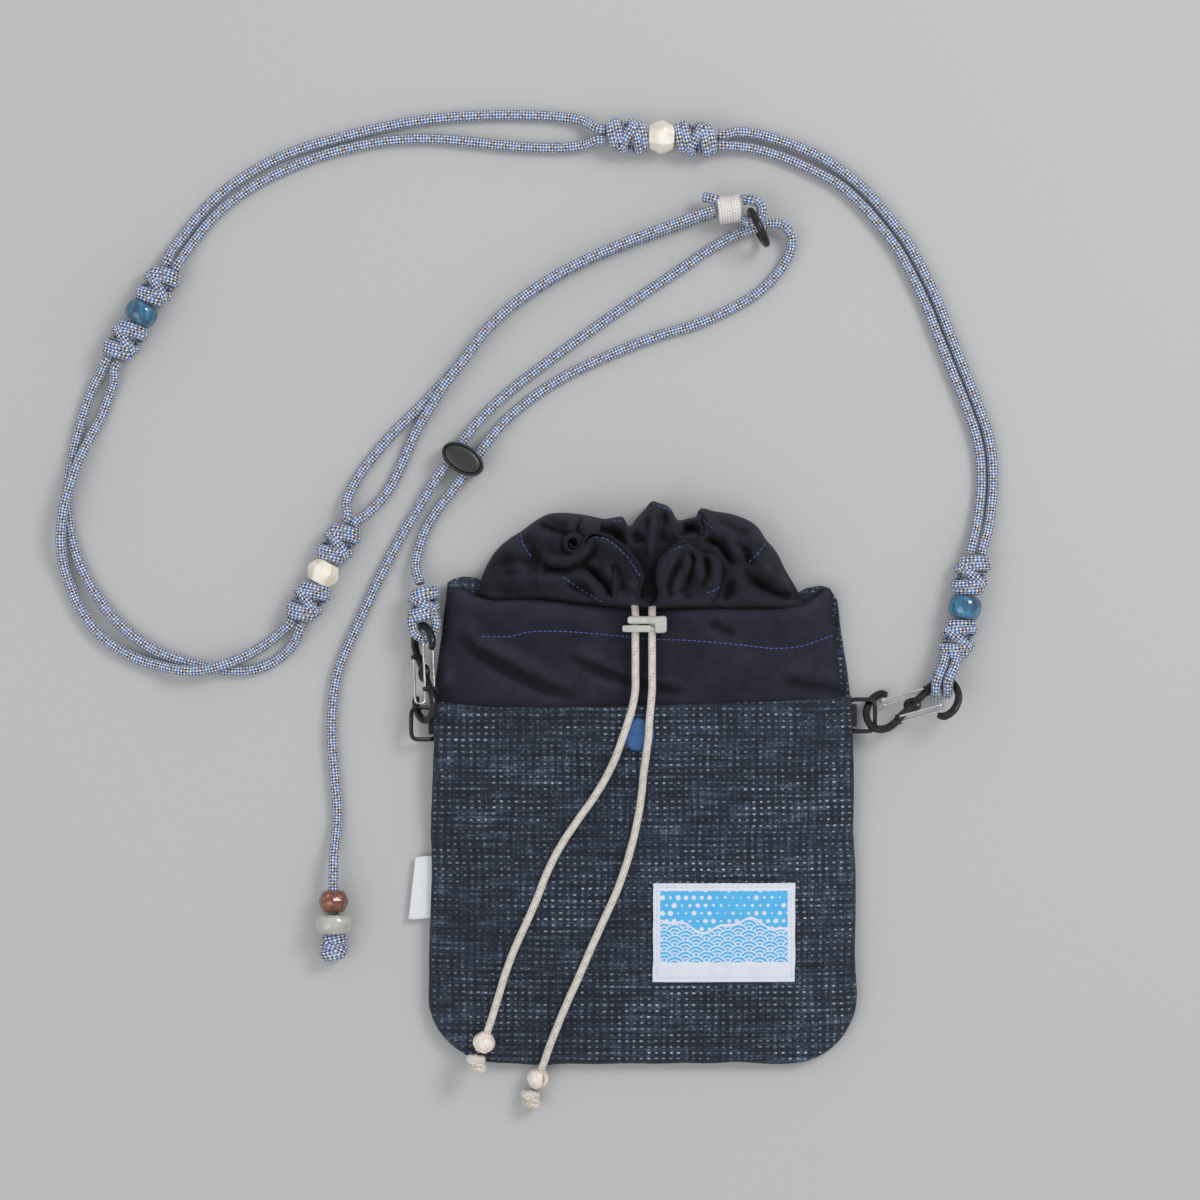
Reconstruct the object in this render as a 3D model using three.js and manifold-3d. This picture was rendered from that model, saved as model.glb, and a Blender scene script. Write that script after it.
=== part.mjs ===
// A kinchaku drawstring pouch with a beaded cord strap, lying on its back.
// Units are millimetres. X runs to the right, Y towards the mouth, Z up from the back panel.
// The origin is on the flat underside of the back panel.

import * as THREE from 'three';
import { mergeVertices } from 'three/addons/utils/BufferGeometryUtils.js';
import Module from 'manifold-3d';

const wasm = await Module();
wasm.setup();

// Clearances between pieces that touch on the real pouch
const gap = 0.3;
const runningGap = 0.35;
const tunnelGap = 0.7;
const buttGap = 0.45;

// Pouch body
const bodyWidth = 171;
const pocketTopWidth = 166.5;
const shoulderWidth = 153;
const bodyBottomY = -96.5;
const bottomCornerRadius = 28;
const pocketTopY = 47;
const rimMiddleY = 85;
const rimRise = 9;
const backThickness = 1.5;
const frontThickness = 1.0;
const pocketThickness = 1.4;
const bagInset = 6.5;
const bagMiddleHeight = 11;
const bagHemHeight = 1.4;
const bagShoulderHeight = 4.0;
const hemLevelY = -5;
const shoulderLevelY = 15;
const crownFlatShare = 0.3;
const crownPower = 2.4;
const crownStartY = -40;

// Gathered collar
const collarHalfWidth = 64;
const collarCentreX = -1;
const collarTopY = 124;
const collarShoulderY = 95;
const collarEdgeHeight = 5;
const collarHeight = 25;
const throatCentre = [0, 99];

// Snap fastener on the pocket
const snapCentre = [-2, 35.3];
const snapCapRadius = 6.5;
const snapCapThickness = 1.8;
const snapRingRadius = 5;
const snapSocketThickness = 1.8;
const snapStudFlange = 0.5;
const snapBallRadius = 1.6;
const snapRivetRadius = 1.0;
const snapBackRadius = 5.5;
const snapBackThickness = 0.9;
const snapLiftInner = 10;
const snapLiftOuter = 25;

// Labels
const patchWidth = 56.4;
const patchHeight = 39.2;
const patchThickness = 0.5;
const patchCentre = [32.2, -43.4];
const sideLabelThickness = 0.9;
// Corners of the side label: out from the left seam, and height up the pouch
const sideLabelOutline = [[-7.9, -38.6], [4.5, -39.8], [5.1, -14.2], [-5.1, -13.8]];

// Side rings and the tabs that hold them
const ringWire = 1.7;
const ringLength = 12.6;
const ringHeight = 14.4;
const ringInnerBarX = 82;
const ringSeamZ = 3.85;
const tabCloth = 0.6;
const tabLength = 8.8;
const tabDepth = 8;
const tabReach = 3.4;
const rightRingY = 42.4;
const leftRingY = 39.2;
const rightRingTilt = THREE.MathUtils.degToRad(14.5);
const leftRingTilt = THREE.MathUtils.degToRad(21);

// Double-ended hooks
const hookBarWidth = 2.9;
const hookBarThickness = 2.6;
const hookBossRadius = 3.6;
const gateWire = 0.9;
const gatePivot = [6.2, 5.4];
const gateTip = [-12.2, 3.4];
const rightHookPose = { at: [107.3, 46.6, 8.6], yaw: 10.2, pitch: -9.5, roll: -33 };
const leftHookPose = { at: [-87.0, 59.4, 9.5], yaw: 90, pitch: 0, roll: -62 };

// Drawstring, its beads and its lock
const drawstringDiameter = 3;
const lockHalfHeight = 3.7;
const lockCordX = [-3.0, 3.6];
const lockTravel = 1.4;
const leafLeftX = -7.0;
const sliderLeftX = -8.2;
const capLeftX = 4.6;
const capRightX = 9.4;
const lockTopY = 82.4;
const lockSplitY = 78.7;
const lockBottomY = 75.2;
const smallBeadBore = 1.95;
const leftBeadZ = 14.4;
const rightBeadZ = 5.1;

// Strap cord, knots and beads
const strapDiameter = 4.1;
const knotLength = 16.6;
const knotWidth = 14.8;
const knotThickness = 11;
const knotNeckRadius = 2.9;
const ivoryBeadDiameter = 13.4;
const brownBeadDiameter = 12;
const clearBeadDiameter = 14.4;
const blueBeadDiameter = 13.4;
const loopSlack = 1.4;
const strandStep = 14;

// Adjuster
const adjusterCentre = [-71.7, 144.6, 4.75];
const adjusterLength = 18;
const adjusterWidth = 11.2;
const adjusterThickness = 9.4;
const adjusterAngle = THREE.MathUtils.degToRad(-32);
const cordAngle = THREE.MathUtils.degToRad(54);
const cordSpacing = 8.2;
const facePlateLength = 12;
const facePlateWidth = 6.2;
const facePlateHeight = 1.3;

// Ring and whipping at the top of the strap
const loopRingDiameter = 17.4;
const loopRingWire = 3.0;
const loopRingCentre = [46, 236.6];
const loopRingYaw = THREE.MathUtils.degToRad(26);
const whippingDiameter = 11.4;
const whippingLength = 9.8;
const whippingTurns = 10;
const whippingCentre = [34.6, 244.0, 5.8];
const whippingYaw = THREE.MathUtils.degToRad(6);

// Surface colours
function finish(color, roughness, metalness = 0) {
  return new THREE.MeshStandardMaterial({ color, roughness, metalness });
}
const denim = finish(0x232f42, 0.95);
const navyCotton = finish(0x33313f, 0.9);
const whiteTape = finish(0xe8e9ea, 0.85);
const blackMetal = finish(0x1c1d1e, 0.35, 0.6);
const blackPlastic = finish(0x242424, 0.5);
const steelWire = finish(0xc9c7c2, 0.25, 1);
const blueEnamel = finish(0x22609f, 0.35);
const greyPlastic = finish(0xb9b8b2, 0.55);
const creamCord = finish(0xe9ddcb, 0.9);
const strapCord = finish(0x7f93bb, 0.9);
const waxedThread = finish(0xdcd3cc, 0.8);
const bone = finish(0xf1eadc, 0.45);
const blueGlass = finish(0x1f6f9c, 0.15);
const paleWood = finish(0xe9cdb9, 0.5);
const brownGlass = finish(0x6b4a2c, 0.25);
const greyGlass = finish(0xb7a99a, 0.2);

const object = new THREE.Group();

function add(name, geometry, material, parent = object) {
  const mesh = new THREE.Mesh(geometry, material);
  mesh.name = name;
  parent.add(mesh);
  return mesh;
}

// Solid helpers: joining and cutting closed meshes
function toSolid(geometry) {
  const bare = geometry.index ? geometry.toNonIndexed() : geometry.clone();
  bare.deleteAttribute('normal');
  bare.deleteAttribute('uv');
  const merged = mergeVertices(bare, 1e-4);
  return new wasm.Manifold(new wasm.Mesh({
    numProp: 3,
    vertProperties: new Float32Array(merged.attributes.position.array),
    triVerts: new Uint32Array(merged.index.array),
  }));
}

function toGeometry(solid) {
  const mesh = solid.getMesh();
  const geometry = new THREE.BufferGeometry();
  geometry.setAttribute('position', new THREE.BufferAttribute(new Float32Array(mesh.vertProperties), 3));
  geometry.setIndex(new THREE.BufferAttribute(new Uint32Array(mesh.triVerts), 1));
  return geometry;
}

function join(...geometries) {
  return toGeometry(geometries.map(toSolid).reduce((whole, piece) => whole.add(piece)));
}

function cut(geometry, ...tools) {
  return toGeometry(tools.map(toSolid).reduce((whole, tool) => whole.subtract(tool), toSolid(geometry)));
}

function box(low, high) {
  const size = high.map((value, axis) => value - low[axis]);
  const middle = high.map((value, axis) => (value + low[axis]) / 2);
  return new THREE.BoxGeometry(...size).translate(...middle);
}

// A round bar standing on Z between two heights
function disc(centre, radius, lowZ, highZ, sides = 20) {
  return new THREE.CylinderGeometry(radius, radius, highZ - lowZ, sides)
    .rotateX(Math.PI / 2)
    .translate(centre[0], centre[1], (lowZ + highZ) / 2);
}

// A round bar along Y, or along X
function barY(x, z, radius, lowY, highY, sides = 12) {
  return new THREE.CylinderGeometry(radius, radius, highY - lowY, sides).translate(x, (lowY + highY) / 2, z);
}

function regularSection(radius, sides) {
  const corners = [];
  for (let i = 0; i < sides; i += 1) {
    const angle = (i / sides) * Math.PI * 2;
    corners.push(new THREE.Vector2(Math.cos(angle) * radius, Math.sin(angle) * radius));
  }
  return new THREE.Shape(corners);
}

function tube(points, radius, sides, steps) {
  const curve = new THREE.CatmullRomCurve3(points.map((point) => new THREE.Vector3(...point)));
  return new THREE.ExtrudeGeometry(regularSection(radius, sides), { extrudePath: curve, steps, bevelEnabled: false });
}

function cordTube(points, diameter, step) {
  const curve = new THREE.CatmullRomCurve3(points.map((point) => new THREE.Vector3(...point)));
  const steps = Math.max(4, Math.round(curve.getLength() / step));
  return tube(points, diameter / 2, 8, steps);
}

// Heights of the pouch layers
function mix(a, b, share) {
  return a + (b - a) * THREE.MathUtils.clamp(share, 0, 1);
}

function bodyHalfWidth(y) {
  const cornerY = bodyBottomY + bottomCornerRadius;
  if (y < cornerY) {
    const down = Math.min(cornerY - y, bottomCornerRadius);
    return bodyWidth / 2 - bottomCornerRadius + Math.sqrt(bottomCornerRadius ** 2 - down ** 2);
  }
  if (y < pocketTopY) {
    return mix(bodyWidth, pocketTopWidth, (y - cornerY) / (pocketTopY - cornerY)) / 2;
  }
  return mix(pocketTopWidth, shoulderWidth, (y - pocketTopY) / (rimMiddleY + rimRise - pocketTopY)) / 2;
}

const bagUnderside = backThickness + gap;

function bagEdgeHeight(y) {
  return mix(bagHemHeight, bagShoulderHeight, (y - hemLevelY) / (shoulderLevelY - hemLevelY));
}

function crown(x, y) {
  const side = Math.max(0, Math.abs(x) / bodyHalfWidth(y) - crownFlatShare) / (1 - crownFlatShare);
  const down = Math.max(0, crownStartY - y) / (crownStartY - bodyBottomY);
  return Math.max(0, 1 - side ** crownPower) * Math.max(0, 1 - down ** crownPower);
}

function bagTop(x, y) {
  return bagUnderside + mix(bagEdgeHeight(y), bagMiddleHeight, crown(x, y));
}

function frontTop(x, y) {
  return bagTop(x, y) + gap + frontThickness;
}

// The pocket stands off the front panel round the closed snap
const snapStackHeight = gap + snapStudFlange + gap + snapSocketThickness + gap;

function snapLift(x, y) {
  const away = Math.hypot(x - snapCentre[0], y - snapCentre[1]);
  const share = THREE.MathUtils.smoothstep(away, snapLiftInner, snapLiftOuter);
  return (snapStackHeight - gap) * (1 - share);
}

function pocketTop(x, y) {
  return frontTop(x, y) + gap + snapLift(x, y) + pocketThickness;
}

// A slab between two height functions over a grid of rows and columns
function slab(columns, rows, place, low, high) {
  const positions = [];
  const across = columns.length;
  const up = rows.length;
  for (const level of [low, high]) {
    for (const row of rows) {
      for (const column of columns) {
        const [x, y] = place(column, row);
        positions.push(x, y, level(x, y));
      }
    }
  }
  const index = [];
  const vertex = (layer, row, column) => (layer * up + row) * across + column;
  const quad = (a, b, c, d) => index.push(a, b, c, a, c, d);
  for (let r = 0; r < up - 1; r += 1) {
    for (let c = 0; c < across - 1; c += 1) {
      quad(vertex(1, r, c), vertex(1, r, c + 1), vertex(1, r + 1, c + 1), vertex(1, r + 1, c));
      quad(vertex(0, r, c), vertex(0, r + 1, c), vertex(0, r + 1, c + 1), vertex(0, r, c + 1));
    }
  }
  for (let c = 0; c < across - 1; c += 1) {
    quad(vertex(0, 0, c), vertex(0, 0, c + 1), vertex(1, 0, c + 1), vertex(1, 0, c));
    quad(vertex(0, up - 1, c + 1), vertex(0, up - 1, c), vertex(1, up - 1, c), vertex(1, up - 1, c + 1));
  }
  for (let r = 0; r < up - 1; r += 1) {
    quad(vertex(0, r + 1, 0), vertex(0, r, 0), vertex(1, r, 0), vertex(1, r + 1, 0));
    quad(vertex(0, r, across - 1), vertex(0, r + 1, across - 1), vertex(1, r + 1, across - 1), vertex(1, r, across - 1));
  }
  const geometry = new THREE.BufferGeometry();
  geometry.setAttribute('position', new THREE.Float32BufferAttribute(positions, 3));
  geometry.setIndex(index);
  return geometry;
}

function evenly(from, to, count) {
  return Array.from({ length: count }, (unused, i) => from + ((to - from) * i) / (count - 1));
}

// Rows of the body, close together round the bottom corners
const cornerRows = [90, 74, 58, 42, 26, 12].map((degrees) => (
  bodyBottomY + bottomCornerRadius * (1 - Math.sin(THREE.MathUtils.degToRad(degrees)))));
const middleRows = [-68.5, -54, -40, -24, hemLevelY, 5, shoulderLevelY, 25, 36];
const lowerRows = [...cornerRows, ...middleRows, pocketTopY];
const upperRows = [56, 66, 76, rimMiddleY];
const bodyColumns = [-1, -0.9, -0.78, -0.64, -0.48, -0.3, -0.12, 0.07, 0.3, 0.48, 0.64, 0.78, 0.9, 1];

// The rim rises towards both shoulders
function rimLift(column, y) {
  return rimRise * column ** 2 * mix(0, 1, (y - pocketTopY) / (rimMiddleY - pocketTopY));
}

function placeInset(inset) {
  return (column, row) => {
    const y = row + rimLift(column, row);
    return [column * (bodyHalfWidth(y) - inset), y];
  };
}

function insetRows(rows, inset) {
  return rows.map((row) => Math.max(row, bodyBottomY + inset)).filter((row, i, all) => row !== all[i - 1]);
}

// Back panel
add('back_panel', slab(bodyColumns, [...lowerRows, ...upperRows], placeInset(0), () => 0, () => backThickness), denim);

// Drawstring routes, from the back of the throat through the lock and down the pocket
const lockZ = frontTop(0, lockBottomY) + gap + lockHalfHeight;

function atLock(x, y) {
  return [x, y, lockZ];
}

function onPocket(x, y, lift = 0) {
  return [x, y, pocketTop(x, y) + drawstringDiameter / 2 + runningGap + lift];
}

const drawstringRoutes = {
  left: [
    atLock(-0.4, 107.6), atLock(-5.2, 106.1), atLock(-8.2, 102.4), atLock(-8.4, 97.8), atLock(-6.4, 93.6),
    atLock(-4.1, 89.8), atLock(-3.1, 85.5), atLock(-3, 80), atLock(-3, 70), atLock(-3, 60),
    [-3, 53.5, lockZ + 0.2], onPocket(-3.8, 48, 0.6), onPocket(-5.4, 42, 2.2), onPocket(-7.6, 35.5, 2.6),
    onPocket(-10, 28.5, 1.9), onPocket(-13.8, 19.8, 0.7), onPocket(-19.2, 10.6, 0.2), onPocket(-26, 1, 0.1),
    onPocket(-32.6, -9, 0.1), onPocket(-38, -19.6, 0.1), onPocket(-42.2, -30.4, 0.1), onPocket(-46.6, -40.4, 0.2),
    onPocket(-51, -50.2, 0.2), onPocket(-54.6, -60, 0.3), onPocket(-57.6, -70, 0.5),
    [-60.4, -79, leftBeadZ], [-62.9, -86.6, leftBeadZ], [-63.9, -89.4, leftBeadZ],
  ],
  right: [
    atLock(0.4, 107.6), atLock(5.4, 106.1), atLock(8.6, 102.4), atLock(9, 97.8), atLock(7.2, 93.6),
    atLock(4.9, 89.8), atLock(3.7, 85.5), atLock(3.6, 80), atLock(3.6, 70), atLock(3.6, 60),
    [3.6, 53.5, lockZ + 0.2], onPocket(3.2, 48, 0.6), onPocket(2.6, 42, 2.2), onPocket(2.2, 35.5, 2.6),
    onPocket(1.4, 28.5, 1.9), onPocket(0.2, 19.8, 0.7), onPocket(-0.6, 11, 0.1), onPocket(-2.6, -0.8),
    onPocket(-5.8, -13.6), onPocket(-10.2, -26.4), onPocket(-15.4, -38), onPocket(-20.6, -49.6, 0.1),
    onPocket(-25.4, -60.8, 0.2), onPocket(-30.4, -72, 0.3), onPocket(-34.8, -83, 0.4), onPocket(-38, -91.6, 0.5),
    onPocket(-39.2, -95.4, 0.5), [-40.2, -97.8, rightBeadZ + 2.8], [-40.9, -99.7, rightBeadZ + 1.15],
    [-41.8, -102.2, rightBeadZ], [-42.8, -105, rightBeadZ - 1.3], [-43.1, -105.9, rightBeadZ - 1.6],
  ],
};

// Inner bag with its collar drawn shut, one sewn piece
function collarPlace(column, share) {
  const x = collarCentreX + column * collarHalfWidth;
  const baseY = rimMiddleY + rimRise * (x / (shoulderWidth / 2)) ** 2 + 2 * gap;
  const arch = Math.max(0, 1 - Math.abs(column) ** 2.4) ** 0.6;
  return [x, mix(baseY, collarShoulderY + (collarTopY - collarShoulderY) * arch, share)];
}

function collarLevel(x, y) {
  const column = (x - collarCentreX) / collarHalfWidth;
  const outward = THREE.MathUtils.clamp((y - rimMiddleY) / (collarTopY - rimMiddleY), 0, 1);
  const arch = Math.sqrt(Math.max(0, 1 - column ** 2));
  return collarEdgeHeight + (collarHeight - collarEdgeHeight) * arch * (1 - 0.75 * outward ** 2.5);
}

const bagRows = insetRows([...lowerRows, ...upperRows, rimMiddleY + 6], bagInset);
const bagBody = slab(bodyColumns, bagRows, placeInset(bagInset), () => bagUnderside, bagTop);
const collar = slab(evenly(-1, 1, 15), evenly(0, 1, 6), collarPlace, () => bagUnderside, collarLevel);
const tunnelRadius = drawstringDiameter / 2 + tunnelGap;
const tunnels = Object.values(drawstringRoutes).map((route) => tube(route.slice(0, 9), tunnelRadius, 8, 14));
const throatBack = drawstringRoutes.left[0];
const tunnelJoint = box(
  [-1.2, throatBack[1] - tunnelRadius, throatBack[2] - tunnelRadius],
  [1.2, throatBack[1] + tunnelRadius, throatBack[2] + tunnelRadius],
);
const snapFloor = bagTop(...snapCentre);
const snapBackZ = snapFloor - snapBackThickness;
const snapDent = disc(snapCentre, snapBackRadius + gap, snapBackZ - gap, snapFloor + 2);
add('inner_bag', cut(join(bagBody, collar), ...tunnels, tunnelJoint, snapDent), navyCotton);

// Front panel and pocket panel, each with a hole for the snap's rivet
const rivetHole = disc(snapCentre, snapRivetRadius + gap, -1, collarHeight, 12);
const frontRows = insetRows([...lowerRows, ...upperRows], 1);
add('front_panel', cut(slab(
  bodyColumns,
  frontRows,
  placeInset(1),
  (x, y) => bagTop(x, y) + gap,
  frontTop,
), rivetHole), navyCotton);
const snapRows = [snapCentre[1] - snapLiftInner, snapCentre[1], snapCentre[1] + snapLiftInner];
const pocketRows = [...lowerRows, ...snapRows].sort((a, b) => a - b).filter((row) => row !== 25 && row !== 36);
const snapColumns = [snapCentre[0] - snapLiftInner, snapCentre[0], snapCentre[0] + snapLiftInner];
const pocketColumns = [...bodyColumns, ...snapColumns.map((x) => x / bodyHalfWidth(snapCentre[1]))]
  .sort((a, b) => a - b)
  .filter((column) => column !== -0.12 && column !== 0.07);
add('pocket_panel', cut(slab(
  pocketColumns,
  pocketRows,
  placeInset(0),
  (x, y) => pocketTop(x, y) - pocketThickness,
  pocketTop,
), rivetHole), denim);

// Snap fastener: cap and socket on the pocket, stud and backing post on the front panel
const studBaseZ = frontTop(...snapCentre) + gap;
const socketBaseZ = studBaseZ + snapStudFlange + gap;
const pocketLevel = pocketTop(...snapCentre);
const capBaseZ = pocketLevel + gap;
const socketTopZ = socketBaseZ + snapSocketThickness;
const ballTopZ = socketTopZ - 0.9;
const capDome = new THREE.LatheGeometry([
  new THREE.Vector2(0, 0),
  new THREE.Vector2(snapCapRadius, 0),
  new THREE.Vector2(snapCapRadius, snapCapThickness * 0.45),
  new THREE.Vector2(snapCapRadius * 0.86, snapCapThickness * 0.85),
  new THREE.Vector2(0, snapCapThickness),
], 28).rotateX(Math.PI / 2).translate(snapCentre[0], snapCentre[1], capBaseZ);
const capRivet = disc(snapCentre, snapRivetRadius, ballTopZ + gap, capBaseZ + 0.3, 12);
add('snap_cap', join(capDome, capRivet), blueEnamel);
add('snap_socket', cut(
  disc(snapCentre, snapRingRadius, socketBaseZ, socketTopZ),
  disc(snapCentre, snapBallRadius + gap, socketBaseZ - 1, socketTopZ + 1),
), steelWire);
add('snap_stud', cut(
  join(
    disc(snapCentre, snapRingRadius, studBaseZ, studBaseZ + snapStudFlange),
    disc(snapCentre, snapBallRadius, studBaseZ, ballTopZ, 16),
  ),
  disc(snapCentre, snapRivetRadius + 0.15, studBaseZ - 1, ballTopZ - 0.5, 12),
), steelWire);
add('snap_back_post', join(
  disc(snapCentre, snapBackRadius, snapBackZ, snapFloor),
  disc(snapCentre, snapRivetRadius, snapFloor - 0.3, ballTopZ - 0.5 - gap, 12),
), steelWire);

// Stitched patch on the pocket and folded tab in the left seam
const [patchX, patchY] = patchCentre;
add('label_patch', slab(
  evenly(patchX - patchWidth / 2, patchX + patchWidth / 2, 9),
  evenly(patchY - patchHeight / 2, patchY + patchHeight / 2, 7),
  (x, y) => [x, y],
  (x, y) => pocketTop(x, y) + gap,
  (x, y) => pocketTop(x, y) + gap + patchThickness,
), whiteTape);
const sideLabelShape = new THREE.Shape(
  sideLabelOutline.map(([out, y]) => new THREE.Vector2(out - bodyWidth / 2, y)),
);
add('side_label', new THREE.ExtrudeGeometry(sideLabelShape, { depth: sideLabelThickness, bevelEnabled: false })
  .translate(0, 0, bagUnderside + 0.05), whiteTape);

// Rounded rectangular ring, made by pulling a torus out to the corners
function rectangularRing(length, height, wire) {
  const seed = length + height;
  const geometry = new THREE.TorusGeometry(seed, wire / 2, 8, 28);
  const position = geometry.attributes.position;
  const reach = [(length - wire) / 2, (height - wire) / 2];
  const corner = 0.4;
  for (let i = 0; i < position.count; i += 1) {
    const x = position.getX(i);
    const y = position.getY(i);
    const angle = Math.atan2(y, x);
    const out = Math.hypot(x, y) - seed;
    const c = Math.cos(angle);
    const s = Math.sin(angle);
    const normal = new THREE.Vector2(
      Math.sign(c) * Math.abs(c) ** (2 - corner) / reach[0],
      Math.sign(s) * Math.abs(s) ** (2 - corner) / reach[1],
    ).normalize();
    position.setXY(
      i,
      Math.sign(c) * Math.abs(c) ** corner * reach[0] + normal.x * out,
      Math.sign(s) * Math.abs(s) ** corner * reach[1] + normal.y * out,
    );
  }
  return geometry;
}

// Folded tab whose tunnel holds the ring's inner bar; the right-hand one opens to +X
function ringTab() {
  const half = ringWire / 2 + gap + tabCloth;
  return cut(
    box([-tabDepth + tabReach, -tabLength / 2, -half], [tabReach, tabLength / 2, half]),
    barY(0, 0, ringWire / 2 + gap, -tabLength, tabLength),
  );
}

const sides = [
  { name: 'right', facing: 0, y: rightRingY, tilt: rightRingTilt },
  { name: 'left', facing: Math.PI, y: leftRingY, tilt: leftRingTilt },
];
for (const { name, facing, y, tilt } of sides) {
  const seam = new THREE.Group();
  seam.rotation.z = facing;
  seam.position.set(Math.cos(facing) * ringInnerBarX, y, ringSeamZ);
  object.add(seam);
  add(`${name}_ring_tab`, ringTab(), blackPlastic, seam);
  const swing = new THREE.Group();
  swing.rotation.y = -tilt;
  seam.add(swing);
  const ring = add(`${name}_ring`, rectangularRing(ringLength, ringHeight, ringWire), blackMetal, swing);
  ring.position.x = (ringLength - ringWire) / 2;
}

// Double-ended hook frame: an S-shaped bar with a flush boss at its middle
const hookHalfLine = [
  [4.8, 4.0], [7.75, 6.7], [10.8, 8.4], [13.9, 8.5], [16.8, 6.9], [18.4, 3.7],
  [18.7, 0], [17.4, -3.7], [15, -6.4], [12, -7.6], [9.6, -6.7],
];
const hookLine = [
  ...hookHalfLine.map(([x, y]) => [-x, -y, 0]).reverse(),
  [0, 0, 0],
  ...hookHalfLine.map(([x, y]) => [x, y, 0]),
];

function hookFrame() {
  const curve = new THREE.CatmullRomCurve3(hookLine.map((point) => new THREE.Vector3(...point)));
  const w = hookBarWidth / 2;
  const t = hookBarThickness / 2;
  const chamfer = 0.55;
  const corners = [
    [w, t - chamfer], [w - chamfer, t], [-w + chamfer, t], [-w, t - chamfer],
    [-w, -t + chamfer], [-w + chamfer, -t], [w - chamfer, -t], [w, -t + chamfer],
  ];
  const section = new THREE.Shape(corners.map(([across, up]) => new THREE.Vector2(up, across)));
  const bar = new THREE.ExtrudeGeometry(section, { extrudePath: curve, steps: 44, bevelEnabled: false });
  return join(bar, disc([0, 0], hookBossRadius, -t, t, 18));
}

// Wire gate: a long U whose two legs pass outside the frame
const gateLegZ = hookBarThickness / 2 + gap + gateWire / 2;

function wireGate() {
  const [px, py] = gatePivot;
  const [tx, ty] = gateTip;
  const points = [
    [px, py, gateLegZ], [(px + tx) / 2, (py + ty) / 2, gateLegZ], [tx + 1.4, ty + 0.15, gateLegZ],
    [tx + 0.3, ty, gateLegZ - 0.5], [tx, ty, 0], [tx + 0.3, ty, 0.5 - gateLegZ],
    [tx + 1.4, ty + 0.15, -gateLegZ], [(px + tx) / 2, (py + ty) / 2, -gateLegZ], [px, py, -gateLegZ],
  ];
  return tube(points, gateWire / 2, 6, 26);
}

function hookGroup({ at, yaw, pitch, roll }) {
  const group = new THREE.Group();
  group.position.set(...at);
  group.rotation.set(...[roll, pitch, yaw].map(THREE.MathUtils.degToRad), 'ZYX');
  group.updateMatrixWorld();
  object.add(group);
  return group;
}

const rightHook = hookGroup(rightHookPose);
add('right_hook_frame', hookFrame(), blackMetal, rightHook);
add('right_hook_inner_gate', wireGate(), steelWire, rightHook);
add('right_hook_outer_gate', wireGate(), steelWire, rightHook).rotation.z = Math.PI;
const leftHook = hookGroup(leftHookPose);
add('left_hook_frame', hookFrame(), blackMetal, leftHook);
add('left_hook_lower_gate', wireGate(), steelWire, leftHook);
add('left_hook_upper_gate', wireGate(), steelWire, leftHook).rotation.z = Math.PI;

// Drawstring halves
for (const [side, route] of Object.entries(drawstringRoutes)) {
  add(`drawstring_${side}`, cordTube(route, drawstringDiameter, 7), creamCord);
}

// Turns a piece that was made along +X to lie along a direction
function layAlong(mesh, at, direction) {
  mesh.position.set(...at);
  mesh.quaternion.setFromUnitVectors(new THREE.Vector3(1, 0, 0), new THREE.Vector3(...direction).normalize());
  return mesh;
}

// A bead turned from a profile of [along, radius] pairs, with a bore through it
function bead(length, diameter, bore, profile, segments = 18) {
  const half = length / 2;
  const outer = profile.map(([along, share]) => new THREE.Vector2(
    bore + (diameter / 2 - bore) * share,
    along * half,
  ));
  const closed = [new THREE.Vector2(bore, -half), ...outer, new THREE.Vector2(bore, half)];
  closed.push(closed[0].clone());
  return new THREE.LatheGeometry(closed, segments).rotateZ(-Math.PI / 2);
}

const roundProfile = [[-1, 0.35], [-0.6, 0.8], [0, 1], [0.6, 0.8], [1, 0.35]];
const biconeProfile = [[-1, 0.5], [-0.15, 1], [0.15, 1], [1, 0.5]];
const barrelProfile = [[-1, 0.62], [-0.55, 0.95], [0, 1], [0.55, 0.95], [1, 0.62]];

// A two-lobed knot along X with flat ends where the cords meet it
function knotLump(length, width, thickness) {
  const profile = [[0, -1], [0.58, -1], [0.88, -0.82], [1, -0.5], [0.86, 0], [1, 0.5], [0.88, 0.82], [0.58, 1], [0, 1]];
  return new THREE.LatheGeometry(profile.map(([r, y]) => new THREE.Vector2(r, y)), 14)
    .rotateZ(-Math.PI / 2)
    .scale(length / 2, width / 2, thickness / 2);
}

// Beads and end knots of the drawstring
const drawstringEnds = {
  left: {
    bead: [-63.0, -87.0, leftBeadZ],
    along: [-0.33, -0.94, 0],
    diameter: 9,
    knot: [-66, -95.4, leftBeadZ - 0.4],
    knotSize: [8.2, 9.4, 8],
  },
  right: {
    bead: [-41.8, -102.2, rightBeadZ],
    along: [-0.32, -0.86, -0.4],
    diameter: 8.8,
    knot: [-44.6, -110.6, 4.1],
    knotSize: [8.4, 9.4, 8],
  },
};
for (const [side, end] of Object.entries(drawstringEnds)) {
  const turned = bead(end.diameter * 0.86, end.diameter, smallBeadBore, roundProfile, 16);
  layAlong(add(`${side}_drawstring_bead`, turned, paleWood), end.bead, end.along);
  const lump = knotLump(...end.knotSize);
  layAlong(add(`${side}_drawstring_knot`, lump, creamCord), end.knot, [end.along[0], end.along[1], 0]);
}

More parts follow.
